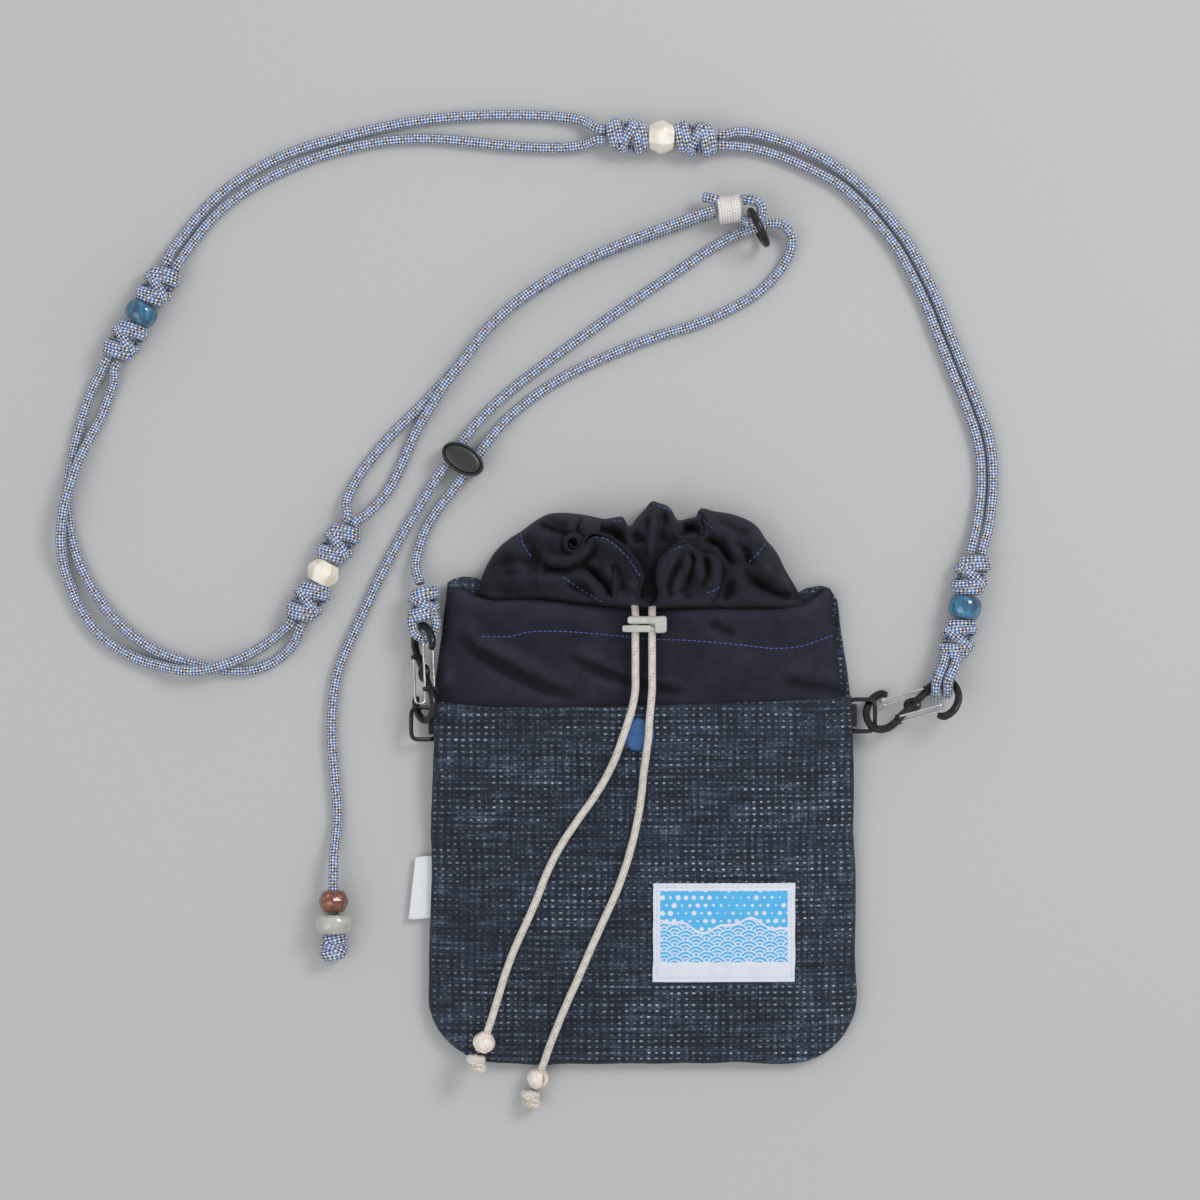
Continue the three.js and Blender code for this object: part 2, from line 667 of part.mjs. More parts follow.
// Cord lock: a fixed leaf with a cap, and a sprung leaf that slides into the cap
const lockGroup = new THREE.Group();
lockGroup.position.z = lockZ;
object.add(lockGroup);
const cordHoleRadius = drawstringDiameter / 2 + runningGap;
const lockHoles = lockCordX.map((x) => barY(x, 0, cordHoleRadius, lockBottomY - 2, lockTopY + 2));
const pocketHalf = lockHalfHeight - 0.6;
const tongueEndX = 5.7;
const springSeatX = capRightX - 0.8;
const sliderTopY = lockSplitY - gap;
const sliderBottomY = lockBottomY + 0.5;
const tongueTopY = sliderTopY - 0.3;
const tongueBottomY = sliderBottomY + 0.35;
add('lock_body', cut(
  join(
    box([leafLeftX, lockSplitY, -lockHalfHeight], [capLeftX + 0.3, lockTopY - 0.3, lockHalfHeight]),
    box([capLeftX, lockBottomY, -lockHalfHeight], [capRightX, lockTopY, lockHalfHeight]),
  ),
  box([capLeftX - 1, tongueBottomY - gap, -pocketHalf], [springSeatX, lockSplitY - 0.2, pocketHalf]),
  ...lockHoles,
), greyPlastic, lockGroup);
const sliderSlots = lockCordX.map((x) => join(
  barY(x, 0, cordHoleRadius, lockBottomY - 2, lockTopY),
  barY(x - lockTravel, 0, cordHoleRadius, lockBottomY - 2, lockTopY),
  box([x - lockTravel, lockBottomY - 2, -cordHoleRadius], [x, lockTopY, cordHoleRadius]),
));
add('lock_button', cut(
  join(
    box([sliderLeftX, sliderBottomY, -lockHalfHeight], [capLeftX - gap - lockTravel, sliderTopY, lockHalfHeight]),
    box([0, tongueBottomY, -pocketHalf + gap], [tongueEndX, tongueTopY, pocketHalf - gap]),
  ),
  ...sliderSlots,
), greyPlastic, lockGroup);
const springTurns = 2.5;
const springRadius = 0.75;
const springWire = 0.4;
const springMiddleY = (tongueBottomY + tongueTopY) / 2;
const springFrom = tongueEndX + gap + springWire / 2;
const springTo = springSeatX - gap - springWire / 2;
const springPoints = evenly(0, 1, 21).map((share) => {
  const angle = share * springTurns * Math.PI * 2;
  return [mix(springFrom, springTo, share), springMiddleY + Math.cos(angle) * springRadius, Math.sin(angle) * springRadius];
});
add('lock_spring', tube(springPoints, springWire / 2, 6, 40), steelWire, lockGroup);

// Strap knots in pairs, each pair with a bead between
function offset(at, direction, along, across = 0, up = 0) {
  const [dx, dy] = direction;
  return [at[0] + dx * along - dy * across, at[1] + dy * along + dx * across, at[2] + up];
}

const beadStations = [
  { bead: 'ivory_bead_left', lower: [-133.4, 87.8], upper: [-121.2, 110.8], diameter: ivoryBeadDiameter, glass: false },
  { bead: 'blue_bead_left', lower: [-206.2, 192], upper: [-193.2, 213.4], diameter: blueBeadDiameter, glass: true },
  { bead: 'ivory_bead_top', lower: [-6, 273.4], upper: [21, 272.2], diameter: ivoryBeadDiameter, glass: false },
  { bead: 'blue_bead_right', lower: [125.6, 73], upper: [131, 98.2], diameter: blueBeadDiameter, glass: true },
];
const knotZ = knotThickness / 2 + 0.05;

// Cord loops from the last knot round the bar of the right hook
function hookLoops() {
  const loopRadius = strapDiameter / 2 + hookBarWidth / 2 + loopSlack;
  const knotFace = [[121.4, 66.4], [126.2, 65.4]];
  return [[10.2, 8.3], [14.9, 8.2]].map(([alongBar, acrossBar], i) => {
    const bar = rightHook.localToWorld(new THREE.Vector3(alongBar, acrossBar, 0));
    const [kx, ky] = knotFace[i];
    const midX = (bar.x + kx) / 2;
    return tube([
      [kx, ky + 3, knotZ + 2], [midX, (bar.y + ky) / 2 + 1, bar.z + loopRadius - 0.6],
      [bar.x, bar.y, bar.z + loopRadius], [bar.x, bar.y - loopRadius * 0.72, bar.z + loopRadius * 0.7],
      [bar.x, bar.y - loopRadius, bar.z], [bar.x, bar.y - loopRadius * 0.72, bar.z - loopRadius * 0.7],
      [bar.x, bar.y, Math.max(bar.z - loopRadius, strapDiameter / 2 + 0.1)], [midX, (bar.y + ky) / 2 + 1, knotZ - 2.8], [kx, ky + 3, knotZ - 2],
    ], strapDiameter / 2, 8, 22);
  });
}

for (const station of beadStations) {
  const lower = new THREE.Vector3(...station.lower, knotZ);
  const upper = new THREE.Vector3(...station.upper, knotZ);
  const span = lower.distanceTo(upper);
  const direction = upper.clone().sub(lower).normalize();
  const beadLength = span - knotLength - 2 * gap;
  const beadLift = station.diameter / 2 + 0.05 - knotZ;
  const neckLength = (span - gap) / 2;
  const neck = new THREE.CylinderGeometry(knotNeckRadius, knotNeckRadius, neckLength - 3, 12)
    .rotateZ(Math.PI / 2)
    .translate(3 + (neckLength - 3) / 2, 0, beadLift);
  for (const [level, at, sign] of [['lower', lower, 1], ['upper', upper, -1]]) {
    const pieces = [knotLump(knotLength, knotWidth, knotThickness), neck.clone()];
    const angle = Math.atan2(direction.y, direction.x) + (sign > 0 ? 0 : Math.PI);
    for (const piece of pieces) {
      piece.rotateZ(angle).translate(at.x, at.y, at.z);
    }
    if (station.bead === 'blue_bead_right' && level === 'lower') {
      pieces.push(...hookLoops());
    }
    add(`${station.bead}_${level}_knot`, join(...pieces), strapCord);
  }
  const profile = station.glass ? barrelProfile : biconeProfile;
  const turned = bead(beadLength, station.diameter, knotNeckRadius + gap, profile);
  const middle = lower.clone().add(upper).multiplyScalar(0.5);
  middle.z += beadLift;
  layAlong(add(station.bead, turned, station.glass ? blueGlass : bone), middle.toArray(), direction.toArray());
}

// Where a strand butts against the outer face of a knot
function knotFace(beadName, level, across, reach = 0) {
  const station = beadStations.find((each) => each.bead === beadName);
  const lower = new THREE.Vector2(...station.lower);
  const direction = new THREE.Vector2(...station.upper).sub(lower).normalize();
  const out = level === 'upper' ? 1 : -1;
  const along = out * (knotLength / 2 + buttGap + reach);
  const aside = (across * (strapDiameter + 2 * buttGap / 3)) / 2;
  const [x, y] = station[level];
  return [x + direction.x * along - direction.y * aside, y + direction.y * along + direction.x * aside, knotZ];
}

// Strap cord: doubled stretches from bead to bead, routes chosen by eye
const strandRoutes = {
  strand_1_upper: [
    [28.6, 243.6, 7.9], [22, 241.6, 7.4], [15.4, 239.2, 6.9], [2.2, 234.4, 6.6], [-11, 229.2, 6.5], [-24.2, 223.2, 6.5],
    [-37.4, 216, 6.5], [-50.6, 206.8, 6.5], [-61.4, 196.8, 6.5], [-70.6, 184.8, 6.5], [-78, 175.4, 6.4],
    [-84.6, 165.2, 4.6], [-91, 154.4, 2.6], [-96, 143, 2.1], [-101, 133, 2.4], [-107, 125.4, 3.8], [-111.6, 121.4, 4.9],
    knotFace('ivory_bead_left', 'upper', -1, 3), knotFace('ivory_bead_left', 'upper', -1),
  ],
  strand_1_lower: [
    [28.6, 242.9, 3.6], [22, 240.7, 3.1], [15.2, 238.2, 2.5], [2, 233.6, 2.1], [-11.2, 228.6, 2.1], [-24.6, 222.8, 2.1],
    [-37.8, 215.4, 2.1], [-51.2, 206.2, 2.1], [-62, 196.4, 2.1], [-71.2, 184.8, 2.1], [-79, 176, 2.1],
    [-88, 166.4, 2.1], [-99, 155.6, 2.1], [-108.6, 144.4, 2.1], [-115.6, 133.8, 2.7], [-118.2, 126.6, 4.2],
    knotFace('ivory_bead_left', 'upper', 1, 3), knotFace('ivory_bead_left', 'upper', 1),
  ],
  strand_2_over: [
    knotFace('ivory_bead_left', 'lower', 1), knotFace('ivory_bead_left', 'lower', 1, 3), [-143, 76.9, 4.4], [-147.2, 73.2, 3], [-154, 68.6, 2.4], [-160, 65.4, 4.8],
    [-166.4, 62.8, 6.8], [-172.6, 61, 6.8], [-179, 60.2, 6.8], [-185.4, 60.6, 5.6], [-192, 62, 3.4],
    [-203.6, 65.6, 2.1], [-215.4, 73.2, 2.1], [-224.6, 84.8, 2.1], [-229.8, 97.2, 2.4], [-231.4, 104, 3.9],
    [-232, 111, 6], [-231.6, 118, 6.8], [-230.4, 126, 6.8], [-228, 134.4, 6.8], [-225.4, 142, 6.6],
    [-222.4, 149, 5.2], [-219.2, 155.5, 3.2], [-216, 162, 2.1], [-213, 170, 2.5], [-210.6, 176.6, 3.8],
    knotFace('blue_bead_left', 'lower', -1, 3), knotFace('blue_bead_left', 'lower', -1),
  ],
  strand_2_under: [
    knotFace('ivory_bead_left', 'lower', -1), knotFace('ivory_bead_left', 'lower', -1, 3), [-138.4, 72.6, 4], [-142, 68, 2.6], [-147, 64, 2.1], [-153, 61.4, 2.1], [-159.6, 60.2, 2.1],
    [-166.6, 60.4, 2.1], [-174, 61.6, 2.1], [-181, 63.2, 2.1], [-188, 65.4, 2.1], [-195, 68.4, 2.1],
    [-205.2, 75.4, 2.1], [-213.8, 84.2, 2.1], [-220.8, 94.6, 2.1], [-225.8, 105.2, 2.1], [-228.6, 115.8, 2.1],
    [-229.8, 127.6, 2.1], [-229.2, 135.4, 2.1], [-228, 143.4, 2.1], [-226, 153, 2.1], [-223.2, 163, 2.1],
    [-219.6, 172.8, 2.6], [-216, 179.6, 4],
    knotFace('blue_bead_left', 'lower', 1, 3), knotFace('blue_bead_left', 'lower', 1),
  ],
  strand_3_outer: [
    knotFace('blue_bead_left', 'upper', 1), knotFace('blue_bead_left', 'upper', 1, 3), [-188.4, 226.6, 4.2], [-184.4, 232.4, 2.6], [-176.2, 243, 2.1], [-167, 251.8, 2.1],
    [-156.2, 259.2, 2.1], [-145.5, 265, 2.1], [-133.5, 269.5, 2.1], [-121, 273, 2.1], [-107, 276.5, 2.1],
    [-91.5, 279.5, 2.1], [-76, 281.2, 2.1], [-61, 282, 2.1], [-46, 282, 2.1], [-32, 281.2, 2.1],
    [-23.5, 279.6, 3.2], knotFace('ivory_bead_top', 'lower', 1, 3), knotFace('ivory_bead_top', 'lower', 1),
  ],
  strand_3_inner: [
    knotFace('blue_bead_left', 'upper', -1), knotFace('blue_bead_left', 'upper', -1, 3), [-184, 224.4, 4.2], [-180, 230.4, 2.6], [-171.6, 241, 2.1], [-161.8, 249.4, 2.1],
    [-150.6, 256.4, 2.1], [-140, 261.4, 2.1], [-128, 266, 2.1], [-116, 269.2, 2.1], [-100, 272, 2.1],
    [-84, 272.6, 2.1], [-68.5, 271.4, 2.1], [-53.5, 269.8, 2.1], [-38, 269, 2.1], [-29, 269.2, 2.6],
    [-22, 270.2, 3.8], knotFace('ivory_bead_top', 'lower', -1, 3), knotFace('ivory_bead_top', 'lower', -1),
  ],
  strand_4_outer: [
    knotFace('ivory_bead_top', 'upper', 1), knotFace('ivory_bead_top', 'upper', 1, 3), [36.4, 275, 4], [43.4, 274.8, 2.5], [52, 272.8, 2.1], [61.5, 269.6, 2.1], [72, 264.8, 2.1],
    [81.6, 258.4, 2.1], [90.6, 250.4, 2.1], [98.6, 241, 2.1], [106, 231, 2.1], [112, 220, 2.1], [117.5, 208.5, 2.1],
    [122, 196.8, 2.1], [126.4, 185.6, 2.1], [130.6, 175, 2.1], [134.5, 165, 2.1], [137.8, 155.4, 2.1],
    [139.6, 145.4, 2.1], [140, 135, 2.1], [139.2, 125, 2.7], [137.6, 115.6, 4.1],
    knotFace('blue_bead_right', 'upper', -1, 3), knotFace('blue_bead_right', 'upper', -1),
  ],
  strand_4_inner: [
    knotFace('ivory_bead_top', 'upper', -1), knotFace('ivory_bead_top', 'upper', -1, 3), [36.4, 269.4, 4], [43.4, 268.8, 2.5], [52, 266.6, 2.1], [61, 263.2, 2.1], [70, 259, 2.1],
    [78.6, 254.2, 2.1], [87, 246.8, 2.1], [94.9, 237.8, 2.1], [102, 228.2, 2.1], [107.7, 217.8, 2.1],
    [113, 206.6, 2.1], [117.5, 195, 2.1], [122, 183.8, 2.1], [126.2, 173.4, 2.1], [130, 163.6, 2.1],
    [133.1, 154.4, 2.1], [134.9, 145, 2.1], [135.3, 135, 2.1], [134.5, 125.6, 2.7], [132.9, 116, 4.1],
    knotFace('blue_bead_right', 'upper', 1, 3), knotFace('blue_bead_right', 'upper', 1),
  ],
};
for (const [name, route] of Object.entries(strandRoutes)) {
  add(name, cordTube(route, strapDiameter, strandStep), strapCord);
}

// Adjusting cord: from the left hook's knot up through the adjuster, the ring and back
const tailZ = clearBeadDiameter / 2 + 0.05;
const adjustingRoute = [
  [-88.6, 95, 6.6], [-90.4, 101.4, 4.2], [-89.4, 108, 2.8], [-86.6, 116.4, 2.3], [-81.4, 124.8, 3.4],
  [-74.6, 133.6, 4.7], [-71.2, 138.6, 4.75], [-68.4, 142.3, 4.75], [-65.3, 146.6, 4.75], [-61.6, 151.6, 4.7],
  [-55.6, 159, 3.2], [-47.6, 166.4, 2.1], [-38, 173.4, 2.1], [-25.8, 180.4, 2.1], [-4.2, 190, 2.1],
  [9, 194.8, 2.1], [22.2, 198.8, 2.1], [35.4, 204.8, 2.1], [46.2, 211.2, 2.1], [54.2, 219.2, 2.3],
  [58.9, 227.4, 3.2], [59.2, 233.6, 4.4], [55.6, 237.8, 5.2], [50.4, 238.4, 5.6], [45.2, 236.9, 5.6],
  [38.4, 234.4, 4.6], [29, 229.8, 2.5], [15.4, 220.6, 2.1], [-11, 202.8, 2.1], [-37.4, 183.8, 2.1],
  [-52.6, 172.2, 2.1], [-62.6, 162.8, 3.2], [-69, 155.2, 4.7], [-72.2, 151, 4.75], [-75.2, 146.7, 4.75],
  [-78.2, 142.6, 4.75], [-82, 137.2, 4.7], [-88.4, 127, 3], [-97, 112.6, 2.1], [-105, 97.4, 2.1],
  [-111.8, 82.8, 2.1], [-118.6, 68, 2.1], [-122.2, 57.2, 2.1], [-124.2, 38, 2.1], [-123, 18.4, 2.1],
  [-121.8, 4, 2.1], [-122.2, -4, 2.8], [-122.9, -12, 5.6], [-123.1, -18.5, tailZ], [-123.1, -32, tailZ],
  [-123.1, -44.6, tailZ],
];
add('adjusting_cord', cordTube(adjustingRoute, strapDiameter, strandStep), strapCord);

// Left hook's knot with its loop through the upper eye
const leftKnotCentre = [-87.2, 86.9, 7.4];
const eyeBar = leftHook.localToWorld(new THREE.Vector3(18.7, 0, 0));
const eyeReach = strapDiameter / 2 + hookBarWidth / 2 + loopSlack;
const eyeLoop = tube([
  [eyeBar.x - 2.4, leftKnotCentre[1] - 2, leftKnotCentre[2]], [eyeBar.x - eyeReach, eyeBar.y + 2.6, eyeBar.z - 0.6],
  [eyeBar.x - eyeReach, eyeBar.y, eyeBar.z], [eyeBar.x - eyeReach * 0.7, eyeBar.y - eyeReach * 0.7, eyeBar.z],
  [eyeBar.x, eyeBar.y - eyeReach, eyeBar.z], [eyeBar.x + eyeReach * 0.7, eyeBar.y - eyeReach * 0.7, eyeBar.z],
  [eyeBar.x + eyeReach, eyeBar.y, eyeBar.z], [eyeBar.x + eyeReach, eyeBar.y + 2.6, eyeBar.z - 0.6],
  [eyeBar.x + 2.4, leftKnotCentre[1] - 2, leftKnotCentre[2]],
], strapDiameter / 2, 8, 20);
const leftLump = knotLump(13, 13, 12).rotateZ(Math.PI / 2).translate(...leftKnotCentre);
add('left_hook_knot', join(leftLump, eyeLoop), strapCord);

// Adjuster: an oval block with two bores, and the plate let into its face
const cordDirection = [Math.cos(cordAngle), Math.sin(cordAngle)];
const ovalShape = new THREE.Shape().absellipse(
  0, 0, adjusterLength / 2 - 1, adjusterWidth / 2 - 1, 0, Math.PI * 2, false, adjusterAngle,
);
const oval = new THREE.ExtrudeGeometry(ovalShape, {
  depth: adjusterThickness - 2, bevelThickness: 1, bevelSize: 1, bevelSegments: 2, curveSegments: 14,
}).translate(0, 0, 1 - adjusterThickness / 2);
const bores = [-1, 1].map((side) => new THREE.CylinderGeometry(
  strapDiameter / 2 + runningGap, strapDiameter / 2 + runningGap, adjusterWidth * 2, 14,
).rotateZ(cordAngle - Math.PI / 2).translate(
  (-cordDirection[1] * side * cordSpacing) / 2,
  (cordDirection[0] * side * cordSpacing) / 2,
  0,
));
function facePlate(grow, lowZ, highZ) {
  const shape = new THREE.Shape().absellipse(
    0, 0, facePlateLength / 2 + grow, facePlateWidth / 2 + grow, 0, Math.PI * 2, false, adjusterAngle,
  );
  return new THREE.ExtrudeGeometry(shape, { depth: highZ - lowZ, bevelEnabled: false, curveSegments: 12 })
    .translate(0, 0, lowZ);
}
const plateSeat = adjusterThickness / 2 - 0.8;
add('adjuster_body', cut(oval, ...bores, facePlate(gap, plateSeat, adjusterThickness)), blackPlastic)
  .position.set(...adjusterCentre);
add('adjuster_face', facePlate(0, plateSeat + gap, plateSeat + facePlateHeight), blackPlastic)
  .position.set(...adjusterCentre);

// Ring at the top of the strap, standing on its edge
const loopRingZ = loopRingDiameter / 2 + 0.05;
const loopRing = add('loop_ring', new THREE.TorusGeometry(
  (loopRingDiameter - loopRingWire) / 2, loopRingWire / 2, 10, 32,
).rotateY(Math.PI / 2), blackMetal);
loopRing.position.set(...loopRingCentre, loopRingZ);
loopRing.rotation.z = loopRingYaw;

// Whipping of thread round the strap ends, then the eye that holds the ring
const whippingProfile = [new THREE.Vector2(0, -whippingLength / 2)];
for (let turn = 0; turn < whippingTurns; turn += 1) {
  const start = -whippingLength / 2 + (turn * whippingLength) / whippingTurns;
  whippingProfile.push(new THREE.Vector2(whippingDiameter / 2 - 0.35, start));
  whippingProfile.push(new THREE.Vector2(whippingDiameter / 2, start + whippingLength / whippingTurns / 2));
}
whippingProfile.push(new THREE.Vector2(whippingDiameter / 2 - 0.35, whippingLength / 2));
whippingProfile.push(new THREE.Vector2(0, whippingLength / 2));
const whipping = add('whipping', new THREE.LatheGeometry(whippingProfile, 18).rotateZ(-Math.PI / 2), waxedThread);
whipping.position.set(...whippingCentre);
whipping.rotation.z = whippingYaw;
const ringTopBar = [
  loopRingCentre[0] - Math.sin(loopRingYaw) * (loopRingDiameter - loopRingWire) / 2,
  loopRingCentre[1] + Math.cos(loopRingYaw) * (loopRingDiameter - loopRingWire) / 2,
];
const eyeRadius = strapDiameter / 2 + loopRingWire / 2 + 0.95;
const eyeZ = loopRingZ + 1.5;
add('whipped_eye', tube([
  [41.4, 248, 7.6], [ringTopBar[0] - 0.2, ringTopBar[1] + eyeRadius, eyeZ - 0.6],
  [ringTopBar[0] + eyeRadius * 0.72, ringTopBar[1] + eyeRadius * 0.72, eyeZ],
  [ringTopBar[0] + eyeRadius, ringTopBar[1], eyeZ],
  [ringTopBar[0] + eyeRadius * 0.72, ringTopBar[1] - eyeRadius * 0.72, eyeZ],
  [ringTopBar[0] - 0.2, ringTopBar[1] - eyeRadius, eyeZ - 0.6], [41.2, 239.5, 8],
], strapDiameter / 2, 8, 20), strapCord);
add('eye_cut_end', tube([[28.6, 247.9, 7.8], [26.2, 248.4, 7.6], [24.2, 248.8, 7.2]], strapDiameter / 2, 8, 4), strapCord);

// Tail of the adjusting cord: two beads and the end knot
const tailAxis = [0, -1, 0];
layAlong(add('brown_bead', bead(8.6, brownBeadDiameter, strapDiameter / 2 + runningGap, barrelProfile, 10), brownGlass),
  [-123.1, -31.6, tailZ], tailAxis);
layAlong(add('clear_bead', bead(7.8, clearBeadDiameter, strapDiameter / 2 + runningGap, barrelProfile, 18), greyGlass),
  [-123.1, -40.6, tailZ], tailAxis);
layAlong(add('tail_knot', knotLump(9, 11.4, 9.6), strapCord), [-123.1, -49.7, 5.2], tailAxis);

export default object;
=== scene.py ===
import math
import bpy
import numpy as np
from mathutils import Matrix, Vector
from mathutils.bvhtree import BVHTree


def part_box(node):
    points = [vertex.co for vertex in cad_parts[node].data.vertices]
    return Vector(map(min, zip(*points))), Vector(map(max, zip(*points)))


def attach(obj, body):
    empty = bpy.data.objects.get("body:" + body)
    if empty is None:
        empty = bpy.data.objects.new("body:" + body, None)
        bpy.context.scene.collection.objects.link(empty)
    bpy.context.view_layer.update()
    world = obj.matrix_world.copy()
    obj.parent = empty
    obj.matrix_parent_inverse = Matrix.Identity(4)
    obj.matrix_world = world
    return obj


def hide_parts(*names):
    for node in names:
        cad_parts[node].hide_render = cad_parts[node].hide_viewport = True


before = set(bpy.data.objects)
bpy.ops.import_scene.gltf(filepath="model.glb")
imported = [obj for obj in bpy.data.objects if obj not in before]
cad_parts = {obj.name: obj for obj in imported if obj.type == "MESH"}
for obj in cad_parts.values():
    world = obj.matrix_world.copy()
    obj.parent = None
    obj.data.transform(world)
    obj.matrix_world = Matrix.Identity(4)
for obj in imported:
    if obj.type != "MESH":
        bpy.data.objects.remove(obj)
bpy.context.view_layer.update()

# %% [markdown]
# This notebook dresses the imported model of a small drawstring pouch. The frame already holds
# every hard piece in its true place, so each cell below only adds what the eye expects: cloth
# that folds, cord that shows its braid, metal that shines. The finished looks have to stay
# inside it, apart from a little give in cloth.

MM = 0.001

# %% [markdown]
# The photograph is a flat-lay, shot from straight above. A long lens far away gives the same
# look, with hardly any perspective. The picture is square, and 480 mm of table fill it.

# %% Camera
VIEW_WIDTH = 0.480
CAMERA_HEIGHT = 1.6
SENSOR = 36.0
VIEW_CENTRE = (-0.017, 0.0884)

camera_data = bpy.data.cameras.new("table_camera")
camera_data.sensor_width = SENSOR
camera_data.lens = SENSOR * CAMERA_HEIGHT / VIEW_WIDTH
camera_data.clip_end = 20
camera = bpy.data.objects.new("table_camera", camera_data)
camera.location = (*VIEW_CENTRE, CAMERA_HEIGHT)
bpy.context.scene.collection.objects.link(camera)
bpy.context.scene.camera = camera
print("lens in millimetres:", round(camera_data.lens, 1))

# %% [markdown]
# One large soft lamp stands to the right and above the picture, as in the photograph, where
# the shadows are faint and fall to the left. A wide weak lamp on the left and a pale world
# light fill the rest.

# %% Lamps and world
def soft_lamp(name, place, aim, size, power):
    data = bpy.data.lights.new(name, "AREA")
    data.shape = "DISK"
    data.size = size
    data.energy = power
    lamp = bpy.data.objects.new(name, data)
    lamp.location = place
    direction = Vector(aim) - Vector(place)
    lamp.rotation_euler = direction.to_track_quat("-Z", "Y").to_euler()
    bpy.context.scene.collection.objects.link(lamp)
    return lamp


TABLE_CENTRE = (-0.02, 0.09, 0)
soft_lamp("key_lamp", (0.95, 0.85, 1.25), TABLE_CENTRE, 0.7, 11.2)
soft_lamp("fill_lamp", (-1.1, -0.5, 1.6), TABLE_CENTRE, 1.6, 8)

world = bpy.data.worlds.new("pale_room")
world.use_nodes = True
world.node_tree.nodes["Background"].inputs["Color"].default_value = (0.95, 0.97, 1.0, 1)
world.node_tree.nodes["Background"].inputs["Strength"].default_value = 0.65
bpy.context.scene.world = world
bpy.context.scene.view_settings.view_transform = "Standard"

# %% [markdown]
# Materials are built from nodes. These few helpers keep that readable: a value is either a
# plain number or the output of another node, and put() takes both.

# %% Small helpers for node trees
class Nodes:
    """Adds nodes to one tree, with numbers or other nodes' outputs as inputs."""

    def __init__(self, tree):
        self.tree = tree

    def put(self, socket, value):
        if isinstance(value, bpy.types.NodeSocket):
            self.tree.links.new(value, socket)
        elif value is not None:
            socket.default_value = value

    def add(self, kind, inputs=None, **settings):
        node = self.tree.nodes.new(kind)
        for key, value in settings.items():
            setattr(node, key, value)
        for key, value in (inputs or {}).items():
            self.put(node.inputs[key], value)
        return node

    def math(self, operation, *values):
        node = self.add("ShaderNodeMath", operation=operation)
        for socket, value in zip(node.inputs, values):
            self.put(socket, value)
        return node.outputs[0]

    def plus(self, first, second):
        return self.math("ADD", first, second)

    def minus(self, first, second):
        return self.math("SUBTRACT", first, second)

    def times(self, first, second):
        return self.math("MULTIPLY", first, second)

    def over(self, first, second):
        return self.math("DIVIDE", first, second)

    def blend(self, share, first, second):
        node = self.add("ShaderNodeMix", data_type="RGBA")
        self.put(node.inputs[0], share)
        self.put(node.inputs[6], first)
        self.put(node.inputs[7], second)
        return node.outputs[2]

    def noise(self, place, scale, detail=2.0, roughness=0.5):
        inputs = {"Vector": place, "Scale": scale, "Detail": detail, "Roughness": roughness}
        return self.add("ShaderNodeTexNoise", inputs).outputs[0]

    def stretch(self, value, low, high, to_low=0.0, to_high=1.0):
        inputs = {0: value, 1: low, 2: high, 3: to_low, 4: to_high}
        return self.add("ShaderNodeMapRange", inputs).outputs[0]

    def parts(self, vector):
        return self.add("ShaderNodeSeparateXYZ", {0: vector}).outputs

    def vector(self, x, y, z=0.0):
        return self.add("ShaderNodeCombineXYZ", {0: x, 1: y, 2: z}).outputs[0]

    def scaled(self, vector, factors):
        node = self.add("ShaderNodeVectorMath", operation="MULTIPLY")
        self.put(node.inputs[0], vector)
        self.put(node.inputs[1], factors)
        return node.outputs[0]

    def stops(self, value, colours, step=True):
        node = self.add("ShaderNodeValToRGB", {0: value})
        ramp = node.color_ramp
        ramp.interpolation = "CONSTANT" if step else "LINEAR"
        while len(ramp.elements) < len(colours):
            ramp.elements.new(0.5)
        spread = len(colours) if step else len(colours) - 1
        for i, colour in enumerate(colours):
            ramp.elements[i].position = i / spread
            ramp.elements[i].color = colour
        return node.outputs[0]


def linear(red, green, blue):
    """A colour read off the screen, 0 to 255, as the linear colour that nodes use."""
    def one(value):
        share = value / 255
        return share / 12.92 if share <= 0.04045 else ((share + 0.055) / 1.055) ** 2.4

    return (one(red), one(green), one(blue), 1.0)


def new_group(name, wanted, given):
    """A node group; wanted and given are (name, kind, default) of its sockets."""
    group = bpy.data.node_groups.new(name, "ShaderNodeTree")
    for label, kind, value in wanted:
        socket = group.interface.new_socket(label, in_out="INPUT", socket_type=kind)
        if value is not None:
            socket.default_value = value
    for label, kind in given:
        group.interface.new_socket(label, in_out="OUTPUT", socket_type=kind)
    nodes = Nodes(group)
    return nodes, nodes.add("NodeGroupInput").outputs, nodes.add("NodeGroupOutput").inputs


def use_group(nodes, name, **inputs):
    node = nodes.add("ShaderNodeGroup")
    node.node_tree = bpy.data.node_groups[name]
    for key, value in inputs.items():
        nodes.put(node.inputs[key], value)
    return node.outputs


def new_material(name, roughness=0.5, metallic=0.0, **constants):
    """A material with one Principled shader. Constants go straight on its sockets."""
    material = bpy.data.materials.new(name)
    material.use_nodes = True
    shader = material.node_tree.nodes["Principled BSDF"]
    shader.inputs["Roughness"].default_value = roughness
    shader.inputs["Metallic"].default_value = metallic
    for key, value in constants.items():
        shader.inputs[key.replace("_", " ")].default_value = value
    nodes = Nodes(material.node_tree)
    places = nodes.add("ShaderNodeTexCoord").outputs
    return material, nodes, shader.inputs, places


def relief(nodes, shader, height, depth, strength=1.0):
    """Bump from a height of 0 to 1, with depth in metres."""
    bump = nodes.add("ShaderNodeBump", {"Strength": strength, "Distance": depth, "Height": height})
    nodes.put(shader["Normal"], bump.outputs[0])


